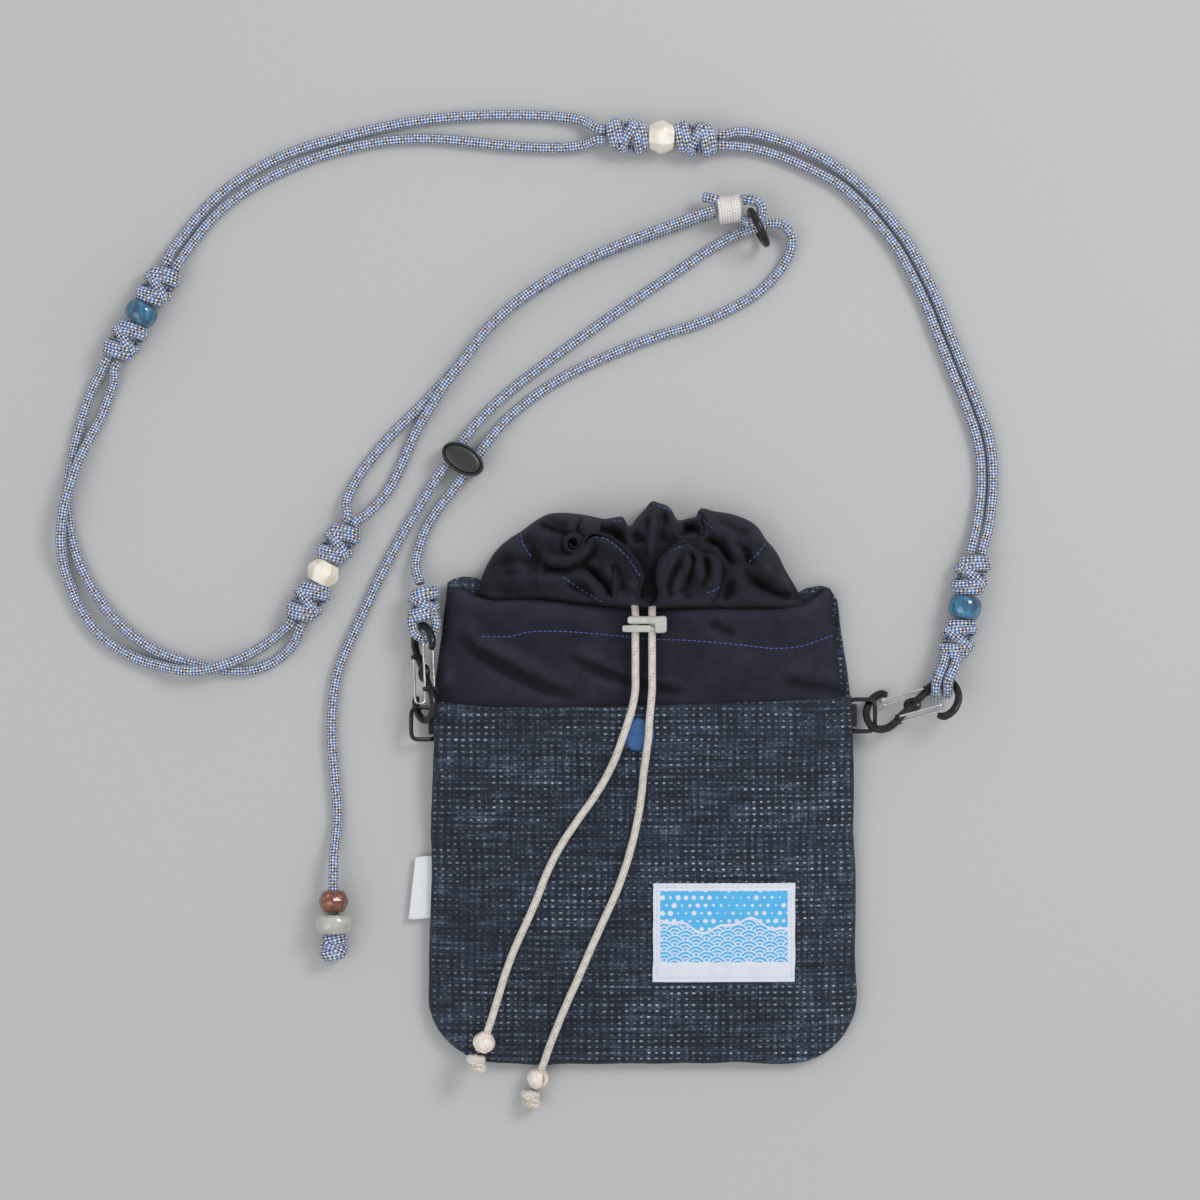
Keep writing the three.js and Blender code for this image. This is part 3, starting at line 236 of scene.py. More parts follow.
def tinted(nodes, colour, shade):
    """A colour multiplied by a grey value."""
    node = nodes.add("ShaderNodeMix", data_type="RGBA", blend_type="MULTIPLY")
    node.inputs[0].default_value = 1.0
    nodes.put(node.inputs[6], colour)
    grey = nodes.add("ShaderNodeCombineColor", {0: shade, 1: shade, 2: shade})
    nodes.put(node.inputs[7], grey.outputs[0])
    return node.outputs[2]


def paint(nodes, shader, share, first, second):
    """The base colour, from one screen colour to another as share goes from 0 to 1."""
    nodes.put(shader["Base Color"], nodes.blend(share, linear(*first), linear(*second)))


print("node helpers are ready")

# %% [markdown]
# An operator acts on all that is selected, and the frame's own nodes come in selected. So
# everything is let go before a new piece is made, and a piece is picked alone to be changed.

# %% Picking one piece
def start_fresh():
    if bpy.context.object and bpy.context.object.mode != "OBJECT":
        bpy.ops.object.mode_set(mode="OBJECT")
    bpy.ops.object.select_all(action="DESELECT")


def pick(piece):
    start_fresh()
    bpy.context.view_layer.objects.active = piece
    piece.select_set(True)


def finish_modifier(piece, kind, **settings):
    """Adds a modifier with its settings and applies it at once."""
    pick(piece)
    modifier = piece.modifiers.new(kind.lower(), kind)
    for key, value in settings.items():
        setattr(modifier, key, value)
    bpy.ops.object.modifier_apply(modifier=modifier.name)


def smooth_by_angle(piece, degrees):
    pick(piece)
    bpy.ops.object.shade_smooth_by_angle(angle=math.radians(degrees))


print("picking helpers are ready")

# %% [markdown]
# The table is a plain pale sheet. It belongs to the stage, not to the pouch.

# %% Table
start_fresh()
bpy.ops.mesh.primitive_plane_add(size=6, location=(0, 0, -0.0004))
table = bpy.context.object
table.name = "table_top"
paper, nodes, shader, places = new_material("pale_paper", roughness=0.9)
grain = nodes.noise(places["Object"], 400, 3)
paint(nodes, shader, grain, (186, 186, 186), (190, 190, 190))
table.data.materials.append(paper)
print("table at", table.location[:])

# %% [markdown]
# A braided cord is two sets of yarns that wind in opposite directions and pass over and under
# each other. The braid group works that out from the cord's own map: U runs once round the
# cord and V along it, in metres. It says which yarn lies on top at a point, and how high the
# yarn stands there. Every cord, knot and loop on the pouch uses it with its own colours.

# %% Braid group
nodes, given, out = new_group(
    "braid",
    [("Map", "NodeSocketVector", None), ("Yarns", "NodeSocketFloat", 8.0),
     ("Pitch", "NodeSocketFloat", 0.002)],
    [("Yarn", "NodeSocketFloat"), ("Height", "NodeSocketFloat")],
)
u, v, _ = nodes.parts(given["Map"])
around = nodes.times(u, given["Yarns"])
along = nodes.over(v, given["Pitch"])
right = nodes.plus(around, along)
left = nodes.minus(around, along)
right_cell = nodes.math("FLOOR", right)
left_cell = nodes.math("FLOOR", left)
both = nodes.plus(right_cell, left_cell)
on_top = nodes.math("FLOORED_MODULO", both, 2.0)
right_yarn = nodes.over(nodes.math("FLOORED_MODULO", right_cell, given["Yarns"]), given["Yarns"])
left_yarn = nodes.over(nodes.math("FLOORED_MODULO", left_cell, given["Yarns"]), given["Yarns"])


def either(nodes, share, first, second):
    """The second value where share is 1, the first where it is 0."""
    kept = nodes.times(first, nodes.minus(1.0, share))
    return nodes.plus(kept, nodes.times(second, share))


across = either(nodes, on_top, nodes.math("FRACT", left), nodes.math("FRACT", right))
lengthways = either(nodes, on_top, nodes.math("FRACT", right), nodes.math("FRACT", left))
crown = nodes.math("SINE", nodes.times(across, math.pi))
ends = nodes.math("SINE", nodes.times(lengthways, math.pi))
nodes.put(out["Height"], nodes.times(crown, nodes.math("POWER", ends, 0.4)))
half_right = nodes.times(right_yarn, 0.5)
half_left = nodes.plus(nodes.times(left_yarn, 0.5), 0.5)
nodes.put(out["Yarn"], either(nodes, on_top, half_left, half_right))
print("braid group:", len(nodes.tree.nodes), "nodes")

# %% [markdown]
# Cloth gets two shared groups. Plain weave is a fine chequer of threads for the cotton, and
# mottle is a slow, uneven shade that keeps dyed cloth from looking printed.

# %% Plain weave and mottle groups
nodes, given, out = new_group(
    "plain_weave",
    [("Place", "NodeSocketVector", None), ("Thread", "NodeSocketFloat", 0.0004)],
    [("Height", "NodeSocketFloat")],
)
warp = nodes.noise(given["Place"], 90, 2)
x, y, _ = nodes.parts(given["Place"])
wander = nodes.times(warp, 0.0006)
turns = nodes.over(math.pi, given["Thread"])
first = nodes.math("SINE", nodes.times(nodes.plus(x, wander), turns))
second = nodes.math("SINE", nodes.times(nodes.plus(y, wander), turns))
nodes.put(out["Height"], nodes.stretch(nodes.times(first, second), -1, 1))

nodes, given, out = new_group(
    "mottle",
    [("Place", "NodeSocketVector", None), ("Size", "NodeSocketFloat", 0.01)],
    [("Shade", "NodeSocketFloat")],
)
coarse = nodes.noise(given["Place"], nodes.over(1.0, given["Size"]), 3, 0.6)
fine = nodes.noise(given["Place"], nodes.over(9.0, given["Size"]), 3, 0.7)
shade = nodes.plus(nodes.times(coarse, 0.6), nodes.times(fine, 0.4))
nodes.put(out["Shade"], nodes.stretch(shade, 0.3, 0.7))
print("cloth groups are ready")

# %% [markdown]
# Two braids are needed. The strap cord mixes blues, cream and tan, so that its colours drift
# round it in slanting bands. The drawstring is cream with a few warmer yarns. On both,
# the grooves between the yarns are painted darker: painted shade.

# %% Cord materials
DEEP_BLUE = linear(24, 58, 134)
MID_BLUE = linear(44, 108, 204)
SKY = linear(88, 148, 220)
CREAM = linear(250, 244, 222)
TAN = linear(220, 192, 138)
PALE = linear(222, 226, 230)
INK = linear(36, 44, 84)


def braid_material(name, yarns, pitch, colours, depth, hollow):
    material, nodes, shader, places = new_material(name, roughness=0.75, Sheen_Weight=0.15)
    braid = use_group(nodes, "braid", Map=places["UV"], Yarns=float(yarns), Pitch=pitch)
    dyed = nodes.stops(nodes.plus(braid["Yarn"], 0.01), colours)
    height = braid["Height"]
    fibres = nodes.noise(nodes.scaled(places["UV"], (40, 9000, 1)), 1.0, 2)
    # The grooves between the yarns are painted darker, down to the share hollow: painted shade. The fibres
    # are random tone.
    groove_painted_shade = nodes.stretch(height, 0, 0.85, hollow, 1.0)
    shade = nodes.times(groove_painted_shade, nodes.stretch(fibres, 0.25, 0.75, 0.88, 1.06))
    nodes.put(shader["Base Color"], tinted(nodes, dyed, shade))
    relief(nodes, shader, height, depth)
    return material


strap_braid = braid_material(
    "strap_braid", 10, 0.0012,
    [MID_BLUE, MID_BLUE, SKY, MID_BLUE, DEEP_BLUE, MID_BLUE, MID_BLUE, SKY, MID_BLUE, INK,
     CREAM, TAN, CREAM, PALE, CREAM, TAN, CREAM, CREAM, PALE, CREAM], 0.0002, 0.45,
)
cream_braid = braid_material(
    "cream_braid", 8, 0.0013,
    [linear(250, 243, 234), linear(252, 246, 238), linear(236, 222, 206), linear(250, 243, 234),
     linear(248, 240, 228), linear(228, 210, 192), linear(251, 244, 235), linear(246, 237, 226)], 0.0002,
     0.5,
)
print("braids:", strap_braid.name, cream_braid.name)

# %% [markdown]
# Each cord follows the same points as its plain tube in the frame, in millimetres.
# A smooth curve runs through them, and a round tube is swept along it. The tube is mesh code
# and not a bevelled curve, because its map has to carry the true length for the braid.
# A point that is given without a height has the cord resting on the table.

# %% Cord routes
ON_TABLE = 2.1
ROUTES = {
    "drawstring_left": [
        (-0.4, 107.6, 18.1), (-5.2, 106.1, 18.1), (-8.2, 102.4, 18.1), (-8.4, 97.8, 18.1),
        (-6.4, 93.6, 18.1), (-4.1, 89.8, 18.1), (-3.1, 85.5, 18.1), (-3, 80, 18.1), (-3, 70, 18.1),
        (-3, 60, 18.1), (-3, 53.5, 18.3), (-3.8, 48, 20.9), (-5.4, 42, 22.8), (-7.6, 35.5, 23.2),
        (-10, 28.5, 22.4), (-13.8, 19.8, 19.2), (-19.2, 10.6, 17.9), (-26, 1, 17.7), (-32.6, -9, 17.7),
        (-38, -19.6, 17.5), (-42.2, -30.4, 17.3), (-46.6, -40.4, 17.1), (-51, -50.2, 16.5),
        (-54.6, -60, 15.6), (-57.6, -70, 14.4), (-60.4, -79, 14.4), (-62.9, -86.6, 14.4),
        (-63.9, -89.4, 14.4),
    ],
    "drawstring_right": [
        (0.4, 107.6, 18.1), (5.4, 106.1, 18.1), (8.6, 102.4, 18.1), (9, 97.8, 18.1), (7.2, 93.6, 18.1),
        (4.9, 89.8, 18.1), (3.7, 85.5, 18.1), (3.6, 80, 18.1), (3.6, 70, 18.1), (3.6, 60, 18.1),
        (3.6, 53.5, 18.3), (3.2, 48, 20.7), (2.6, 42, 22.8), (2.2, 35.5, 23.2), (1.4, 28.5, 22.5),
        (0.2, 19.8, 20.3), (-0.6, 11, 17.8), (-2.6, -0.8, 17.7), (-5.8, -13.6, 17.7),
        (-10.2, -26.4, 17.7), (-15.4, -38, 17.7), (-20.6, -49.6, 17.6), (-25.4, -60.8, 17),
        (-30.4, -72, 15.5), (-34.8, -83, 13), (-38, -91.6, 10.3), (-39.2, -95.4, 8.9),
        (-40.2, -97.8, 7.9), (-40.9, -99.7, 6.3), (-41.8, -102.2, 5.1), (-42.8, -105, 3.8),
        (-43.1, -105.9, 3.5),
    ],
    "strand_1_upper": [
        (28.6, 243.6, 7.9), (22, 241.6, 7.4), (15.4, 239.2, 6.9), (2.2, 234.4, 6.6), (-11, 229.2, 6.5),
        (-24.2, 223.2, 6.5), (-37.4, 216, 6.5), (-50.6, 206.8, 6.5), (-61.4, 196.8, 6.5),
        (-70.6, 184.8, 6.5), (-78, 175.4, 6.4), (-84.6, 165.2, 4.6), (-91, 154.4, 2.6), (-96, 143),
        (-101, 133, 2.4), (-107, 125.4, 3.8), (-111.6, 121.4, 4.9), (-113.8, 120.1, 5.5),
        (-115.2, 117.5, 5.5),
    ],
    "strand_1_lower": [
        (28.6, 242.9, 3.6), (22, 240.7, 3.1), (15.2, 238.2, 2.5), (2, 233.6), (-11.2, 228.6),
        (-24.6, 222.8), (-37.8, 215.4), (-51.2, 206.2), (-62, 196.4), (-71.2, 184.8), (-79, 176),
        (-88, 166.4), (-99, 155.6), (-108.6, 144.4), (-115.6, 133.8, 2.7), (-118.2, 126.6, 4.2),
        (-117.6, 122.2, 5.5), (-119, 119.6, 5.5),
    ],
    "strand_2_over": [
        (-139.4, 81.1, 5.5), (-140.8, 78.5, 5.5), (-143, 76.9, 4.4), (-147.2, 73.2, 3), (-154, 68.6, 2.4),
        (-160, 65.4, 4.8), (-166.4, 62.8, 6.8), (-172.6, 61, 6.8), (-179, 60.2, 6.8), (-185.4, 60.6, 5.6),
        (-192, 62, 3.4), (-203.6, 65.6), (-215.4, 73.2), (-224.6, 84.8), (-229.8, 97.2, 2.4),
        (-231.4, 104, 3.9), (-232, 111, 6), (-231.6, 118, 6.8), (-230.4, 126, 6.8), (-228, 134.4, 6.8),
        (-225.4, 142, 6.6), (-222.4, 149, 5.2), (-219.2, 155.5, 3.2), (-216, 162), (-213, 170, 2.5),
        (-210.6, 176.6, 3.8), (-210.4, 180.8, 5.5), (-208.9, 183.4, 5.5),
    ],
    "strand_2_under": [
        (-135.6, 79, 5.5), (-137, 76.4, 5.5), (-138.4, 72.6, 4), (-142, 68, 2.6), (-147, 64),
        (-153, 61.4), (-159.6, 60.2), (-166.6, 60.4), (-174, 61.6), (-181, 63.2), (-188, 65.4),
        (-195, 68.4), (-205.2, 75.4), (-213.8, 84.2), (-220.8, 94.6), (-225.8, 105.2), (-228.6, 115.8),
        (-229.8, 127.6), (-229.2, 135.4), (-228, 143.4), (-226, 153), (-223.2, 163), (-219.6, 172.8, 2.6),
        (-216, 179.6, 4), (-214.2, 183.1, 5.5), (-212.6, 185.7, 5.5),
    ],
    "strand_3_outer": [
        (-190.5, 222, 5.5), (-189, 224.6, 5.5), (-188.4, 226.6, 4.2), (-184.4, 232.4, 2.6), (-176.2, 243),
        (-167, 251.8), (-156.2, 259.2), (-145.5, 265), (-133.5, 269.5), (-121, 273), (-107, 276.5),
        (-91.5, 279.5), (-76, 281.2), (-61, 282), (-46, 282), (-32, 281.2), (-23.5, 279.6, 3.2),
        (-17.6, 276.1, 5.5), (-14.6, 276, 5.5),
    ],
    "strand_3_inner": [
        (-186.8, 219.7, 5.5), (-185.2, 222.3, 5.5), (-184, 224.4, 4.2), (-180, 230.4, 2.6), (-171.6, 241),
        (-161.8, 249.4), (-150.6, 256.4), (-140, 261.4), (-128, 266), (-116, 269.2), (-100, 272),
        (-84, 272.6), (-68.5, 271.4), (-53.5, 269.8), (-38, 269), (-29, 269.2, 2.6), (-22, 270.2, 3.8),
        (-17.8, 271.7, 5.5), (-14.8, 271.6, 5.5),
    ],
    "strand_4_outer": [
        (29.8, 274, 5.5), (32.8, 273.9, 5.5), (36.4, 275, 4), (43.4, 274.8, 2.5), (52, 272.8),
        (61.5, 269.6), (72, 264.8), (81.6, 258.4), (90.6, 250.4), (98.6, 241), (106, 231), (112, 220),
        (117.5, 208.5), (122, 196.8), (126.4, 185.6), (130.6, 175), (134.5, 165), (137.8, 155.4),
        (139.6, 145.4), (140, 135), (139.2, 125, 2.7), (137.6, 115.6, 4.1), (135.6, 109.2, 5.5),
        (135, 106.3, 5.5),
    ],
    "strand_4_inner": [
        (29.6, 269.6, 5.5), (32.6, 269.5, 5.5), (36.4, 269.4, 4), (43.4, 268.8, 2.5), (52, 266.6),
        (61, 263.2), (70, 259), (78.6, 254.2), (87, 246.8), (94.9, 237.8), (102, 228.2), (107.7, 217.8),
        (113, 206.6), (117.5, 195), (122, 183.8), (126.2, 173.4), (130, 163.6), (133.1, 154.4),
        (134.9, 145), (135.3, 135), (134.5, 125.6, 2.7), (132.9, 116, 4.1), (131.3, 110.2, 5.5),
        (130.7, 107.2, 5.5),
    ],
    "adjusting_cord": [
        (-88.6, 95, 6.6), (-90.4, 101.4, 4.2), (-89.4, 108, 2.8), (-86.6, 116.4, 2.3),
        (-81.4, 124.8, 3.4), (-74.6, 133.6, 4.7), (-71.2, 138.6, 4.8), (-68.4, 142.3, 4.8),
        (-65.3, 146.6, 4.8), (-61.6, 151.6, 4.7), (-55.6, 159, 3.2), (-47.6, 166.4), (-38, 173.4),
        (-25.8, 180.4), (-4.2, 190), (9, 194.8), (22.2, 198.8), (35.4, 204.8), (46.2, 211.2),
        (54.2, 219.2, 2.3), (58.9, 227.4, 3.2), (59.2, 233.6, 4.4), (55.6, 237.8, 5.2),
        (50.4, 238.4, 5.6), (45.2, 236.9, 5.6), (38.4, 234.4, 4.6), (29, 229.8, 2.5), (15.4, 220.6),
        (-11, 202.8), (-37.4, 183.8), (-52.6, 172.2), (-62.6, 162.8, 3.2), (-69, 155.2, 4.7),
        (-72.2, 151, 4.8), (-75.2, 146.7, 4.8), (-78.2, 142.6, 4.8), (-82, 137.2, 4.7), (-88.4, 127, 3),
        (-97, 112.6), (-105, 97.4), (-111.8, 82.8), (-118.6, 68), (-122.2, 57.2), (-124.2, 38),
        (-123, 18.4), (-121.8, 4), (-122.2, -4, 2.8), (-122.9, -12, 5.6), (-123.1, -18.5, 7.3),
        (-123.1, -32, 7.3), (-123.1, -44.6, 7.3),
    ],
}
print("routes:", len(ROUTES))

# %% Sweeping a tube along a line
def smooth_line(points, step):
    """A centripetal Catmull-Rom curve through the points, resampled at even steps."""
    points = np.array(points, float)
    first = 2 * points[0] - points[1]
    last = 2 * points[-1] - points[-2]
    held = np.vstack([first, points, last])
    fine = []
    for p0, p1, p2, p3 in zip(held, held[1:], held[2:], held[3:]):
        knots = [0.0]
        for a, b in ((p0, p1), (p1, p2), (p2, p3)):
            knots.append(knots[-1] + max(np.linalg.norm(b - a), 1e-9) ** 0.5)
        t0, t1, t2, t3 = knots
        for t in np.linspace(t1, t2, 24, endpoint=False):
            a1 = (t1 - t) / (t1 - t0) * p0 + (t - t0) / (t1 - t0) * p1
            a2 = (t2 - t) / (t2 - t1) * p1 + (t - t1) / (t2 - t1) * p2
            a3 = (t3 - t) / (t3 - t2) * p2 + (t - t2) / (t3 - t2) * p3
            b1 = (t2 - t) / (t2 - t0) * a1 + (t - t0) / (t2 - t0) * a2
            b2 = (t3 - t) / (t3 - t1) * a2 + (t - t1) / (t3 - t1) * a3
            fine.append((t2 - t) / (t2 - t1) * b1 + (t - t1) / (t2 - t1) * b2)
    fine.append(points[-1])
    return resampled(np.array(fine), step)


def resampled(line, step):
    lengths = np.concatenate([[0], np.cumsum(np.linalg.norm(np.diff(line, axis=0), axis=1))])
    count = max(3, int(round(lengths[-1] / step)) + 1)
    wanted = np.linspace(0, lengths[-1], count)
    return np.column_stack([np.interp(wanted, lengths, line[:, axis]) for axis in range(3)])


def line_length(line):
    return float(np.linalg.norm(np.diff(line, axis=0), axis=1).sum())


def carried_frames(line, closed=False):
    """Two directions across the line at each point, carried along without twisting."""
    ahead = np.gradient(line, axis=0)
    if closed:
        ahead = np.roll(line, -1, axis=0) - np.roll(line, 1, axis=0)
    ahead /= np.linalg.norm(ahead, axis=1)[:, None]
    start = np.cross(ahead[0], (0, 0, 1))
    if np.linalg.norm(start) < 0.1:
        start = np.cross(ahead[0], (1, 0, 0))
    side = [start / np.linalg.norm(start)]
    for direction in ahead[1:]:
        carried = side[-1] - direction * side[-1].dot(direction)
        side.append(carried / np.linalg.norm(carried))
    side = np.array(side)
    return side, np.cross(ahead, side)


def new_object(name, vertices, faces, maps=None):
    """A mesh object at the origin. maps gives, face by face, the UV of each corner."""
    mesh = bpy.data.meshes.new(name)
    mesh.from_pydata([tuple(p) for p in vertices], [], [tuple(f) for f in faces])
    mesh.validate()
    piece = bpy.data.objects.new(name, mesh)
    bpy.context.scene.collection.objects.link(piece)
    if maps is not None:
        layer = mesh.uv_layers.new(name="UVMap")
        for polygon, corners in zip(mesh.polygons, maps):
            for loop, corner in zip(polygon.loop_indices, corners):
                layer.data[loop].uv = corner
    for polygon in mesh.polygons:
        polygon.use_smooth = True
    return piece


def squared(value, power):
    """A sine or cosine pushed out towards the corners of a rounded square."""
    return math.copysign(abs(value) ** power, value)


def tube_parts(line, radius, sides=14, flat=1.0, power=1.0, closed=False):
    """Vertices, faces and face maps of a tube along the line, capped or joined end to end."""
    across, up = carried_frames(line, closed)
    angles = np.linspace(0, 2 * math.pi, sides, endpoint=False)
    radii = np.broadcast_to(radius, len(line))
    vertices = []
    for point, a, b, r in zip(line, across, up, radii):
        for angle in angles:
            out_by, up_by = squared(math.cos(angle), power), squared(math.sin(angle), power)
            vertices.append(point + a * out_by * r + b * up_by * r * flat)
    loop = np.vstack([line, line[:1]]) if closed else line
    run = np.concatenate([[0], np.cumsum(np.linalg.norm(np.diff(loop, axis=0), axis=1))])
    faces, maps = [], []
    for i in range(len(loop) - 1):
        n = (i + 1) % len(line)
        for j in range(sides):
            k = (j + 1) % sides
            faces.append((i * sides + j, i * sides + k, n * sides + k, n * sides + j))
            u0, u1 = j / sides, (j + 1) / sides
            maps.append(((u0, run[i]), (u1, run[i]), (u1, run[i + 1]), (u0, run[i + 1])))
    ends = () if closed else ((0, line[0], -1), (len(line) - 1, line[-1], 1))
    for ring, point, turn in ends:
        hub = len(vertices)
        vertices.append(point)
        for j in range(sides):
            k = (j + 1) % sides
            pair = (j, k) if turn > 0 else (k, j)
            faces.append((ring * sides + pair[0], ring * sides + pair[1], hub))
            maps.append(((pair[0] / sides, run[ring]), (pair[1] / sides, run[ring]),
                (0.5, run[ring] + turn * 0.001)))
    return vertices, faces, maps


def tube_object(name, line, radius, sides=14):
    return new_object(name, *tube_parts(line, radius, sides))


def dressed(piece, body, slot, material, *replaced):
    """Gives a piece its material, the body it rides on and the nodes it stands for."""
    piece.data.materials.clear()
    piece.data.materials.append(material)
    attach(piece, body)
    if replaced:
        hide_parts(*replaced)
    return piece


print("tube helpers are ready")

# %% [markdown]
# Now the cords themselves. In this picture each can be followed from end to end, so the length
# of its line is its real length.

# %% Drawstring halves and strap cords
STRAP_RADIUS = 2.05 * MM
STRING_RADIUS = 1.5 * MM
CORD_STEP = 1.5 * MM
cord_lines, cords = {}, {}
for name, points in ROUTES.items():
    raised = [point if len(point) == 3 else (*point, ON_TABLE) for point in points]
    cord_lines[name] = smooth_line(np.array(raised) * MM, CORD_STEP)
    is_string = name.startswith("drawstring")
    radius = STRING_RADIUS if is_string else STRAP_RADIUS
    cord = tube_object(name + "_braided", cord_lines[name], radius, 12 if is_string else 14)
    look = (cream_braid, "cream_cord") if is_string else (strap_braid, "strap_cord")
    cords[name] = dressed(cord, "pouch", look[1], look[0], name)
    print(name, "is", round(line_length(cord_lines[name]) * 1000), "mm long")

# %% [markdown]
# The strap's knots are the same cord wound round itself, two lobes to a knot. Seen from above,
# two pairs of wraps bow away from each other, and a bight crosses between the lobes the other
# way. Each wrap is a closed tube round the knot's axis, and a thick core fills the middle.

# %% A two-lobed knot
WRAPS = ((-5.9, 1.0, -0.3, 0.80), (-3.1, 1.7, -0.5, 1.0), (3.1, 1.7, 0.5, 1.0), (5.9, 1.0, 0.3, 0.80))


def knot_strands(length, half_width, half_depth):
    """Centre-lines of the wraps and bights of a knot that lies along X."""
    scale = length / (16.4 * MM)
    strands = []
    for middle, lean, bow, wide in WRAPS:
        line = []
        for angle in np.linspace(0, 2 * math.pi, 44, endpoint=False):
            side, rise = math.cos(angle), math.sin(angle)
            x = (middle - lean * side + bow * abs(rise)) * MM * scale
            line.append((x, side * half_width * wide, rise * half_depth * (0.75 + 0.25 * wide)))
        strands.append(np.array(line))
    return strands


def crossing_strand(length, half_width, half_depth, side):
    """The bight that crosses from one lobe to the other, over or under the knot."""
    line = []
    for share in np.linspace(-1, 1, 21):
        x = share * length * 0.2
        y = math.sin(share * 1.5) * half_width * 0.86 * side
        line.append((x, y, side * (half_depth * math.cos(share * 1.4) + 0.5 * MM)))
    return resampled(np.array(line), 0.8 * MM)


def joined(name, parts):
    """One object from several tubes or sheets."""
    vertices, faces, maps = [], [], []
    for more_vertices, more_faces, more_maps in parts:
        shift = len(vertices)
        vertices += list(more_vertices)
        faces += [tuple(v + shift for v in face) for face in more_faces]
        maps += list(more_maps)
    return new_object(name, vertices, faces, maps)


def placed_line(line, matrix):
    return np.array([matrix @ Vector(p) for p in line])


def turned_flat(centre, heading):
    """A place in millimetres and a turn on the table, in radians."""
    return Matrix.Translation(Vector(centre) * MM) @ Matrix.Rotation(heading, 4, "Z")


def strap_knot(name, node, centre, direction, size, extra=()):
    length, width, depth = (value * MM for value in size)
    matrix = turned_flat(centre, math.atan2(direction[1], direction[0]))
    parts = []
    radius = STRAP_RADIUS * 0.98
    for strand in knot_strands(length, width / 2 - radius, depth / 2 - radius):
        parts.append(tube_parts(placed_line(strand, matrix), radius, 12, closed=True))
    for over in (1, -1):
        bight = crossing_strand(length, width / 2 - radius, depth / 2 - radius, over)
        parts.append(tube_parts(placed_line(bight, matrix), radius, 12))
    core = np.linspace((-length * 0.46, 0, 0), (length * 0.46, 0, 0), 13)
    swell = 1 - 0.45 * np.linspace(-1, 1, 13) ** 4
    core_reach = width / 2 - radius * 1.8
    parts.append(tube_parts(placed_line(core, matrix), swell * core_reach, 16, 0.72))
    for line in extra:
        parts.append(tube_parts(line, radius, 12))
    return dressed(joined(name, parts), "pouch", "strap_cord", strap_braid, node)


KNOT_SIZE = (16.4, 14.6, 10.8)
KNOT_Z = 5.55
STATIONS = {
    "ivory_bead_left": ((-133.4, 87.8), (-121.2, 110.8)),
    "blue_bead_left": ((-206.2, 192.0), (-193.2, 213.4)),
    "ivory_bead_top": ((-6.0, 273.4), (21.0, 272.2)),
    "blue_bead_right": ((125.6, 73.0), (131.0, 98.2)),
}
LOOP_REACH = 5.2
knots = {}
hook_loops = []
for x, y, z, knot_x, knot_y in ((116.7, 55.4, 5.8, 121.4, 66.4), (121.3, 56.1, 6.65, 126.2, 65.4)):
    reach = LOOP_REACH
    under = max(z - reach, 2.15)
    middle = ((x + knot_x) / 2, (y + knot_y) / 2 + 1)
    hook_loops.append(smooth_line(np.array([
        (knot_x, knot_y + 3, KNOT_Z + 2), (*middle, z + reach - 0.6), (x, y, z + reach),
        (x, y - reach * 0.72, z + reach * 0.7), (x, y - reach, z), (x, y - reach * 0.72, z - reach * 0.7),
        (x, y, under), (*middle, KNOT_Z - 2.8), (knot_x, knot_y + 3, KNOT_Z - 2),
    ]) * MM, 1.2 * MM))

for bead, (lower, upper) in STATIONS.items():
    ahead = np.subtract(upper, lower)
    for level, at, sign in (("lower", lower, 1), ("upper", upper, -1)):
        node = f"{bead}_{level}_knot"
        extra = hook_loops if node == "blue_bead_right_lower_knot" else ()
        knots[node] = strap_knot(node + "_wound", node, (*at, KNOT_Z), ahead * sign, KNOT_SIZE, extra)
print("knots:", len(knots))

# %% [markdown]
# The left hook's knot is a smaller one, with its loop passed through the hook's upper eye.
# The tail of the adjusting cord ends in a plain overhand knot.

# %% Hook knot, tail knot, eye and cut end
EYE_BAR = (-87.0, 78.1, 9.5)
EYE_REACH = 4.65
LEFT_KNOT = (-87.2, 86.9, 7.4)
x, y, z = EYE_BAR
eye_loop = smooth_line(np.array([
    (x - 2.4, LEFT_KNOT[1] - 2, LEFT_KNOT[2]), (x - EYE_REACH, y + 2.6, z - 0.6), (x - EYE_REACH, y, z),
    (x - EYE_REACH * 0.7, y - EYE_REACH * 0.7, z), (x, y - EYE_REACH, z),
    (x + EYE_REACH * 0.7, y - EYE_REACH * 0.7, z), (x + EYE_REACH, y, z), (x + EYE_REACH, y + 2.6, z - 0.6),
    (x + 2.4, LEFT_KNOT[1] - 2, LEFT_KNOT[2]),
]) * MM, 1.2 * MM)
knots["left_hook_knot"] = strap_knot(
    "left_hook_knot_wound", "left_hook_knot", LEFT_KNOT, (0, 1), (13, 13, 12), [eye_loop])
knots["tail_knot"] = strap_knot(
    "tail_knot_wound", "tail_knot", (-123.1, -49.7, 5.2), (0, 1), (9.4, 11.6, 9.6))

RING_BAR = (42.84, 243.07)
EYE_RADIUS = 4.5
EYE_Z = 10.25
x, y = RING_BAR
cord_lines["whipped_eye"] = smooth_line(np.array([
    (39.6, 247.4, 7.2), (41.4, 248, 7.6), (x - 0.2, y + EYE_RADIUS, EYE_Z - 0.6),
    (x + EYE_RADIUS * 0.72, y + EYE_RADIUS * 0.72, EYE_Z), (x + EYE_RADIUS, y, EYE_Z),
    (x + EYE_RADIUS * 0.72, y - EYE_RADIUS * 0.72, EYE_Z), (x - 0.2, y - EYE_RADIUS, EYE_Z - 0.6),
    (41.2, 239.5, 8), (39.7, 240.2, 7.4),
]) * MM, 1.2 * MM)
eye = tube_object("whipped_eye_braided", cord_lines["whipped_eye"], STRAP_RADIUS, 12)
cords["whipped_eye"] = dressed(eye, "pouch", "strap_cord", strap_braid, "whipped_eye")
stub_line = smooth_line(np.array([(29.6, 247.5, 7.6), (28.6, 247.9, 7.8), (26.2, 248.4, 7.6),
    (24.2, 248.8, 7.2)]) * MM, 0.8 * MM)
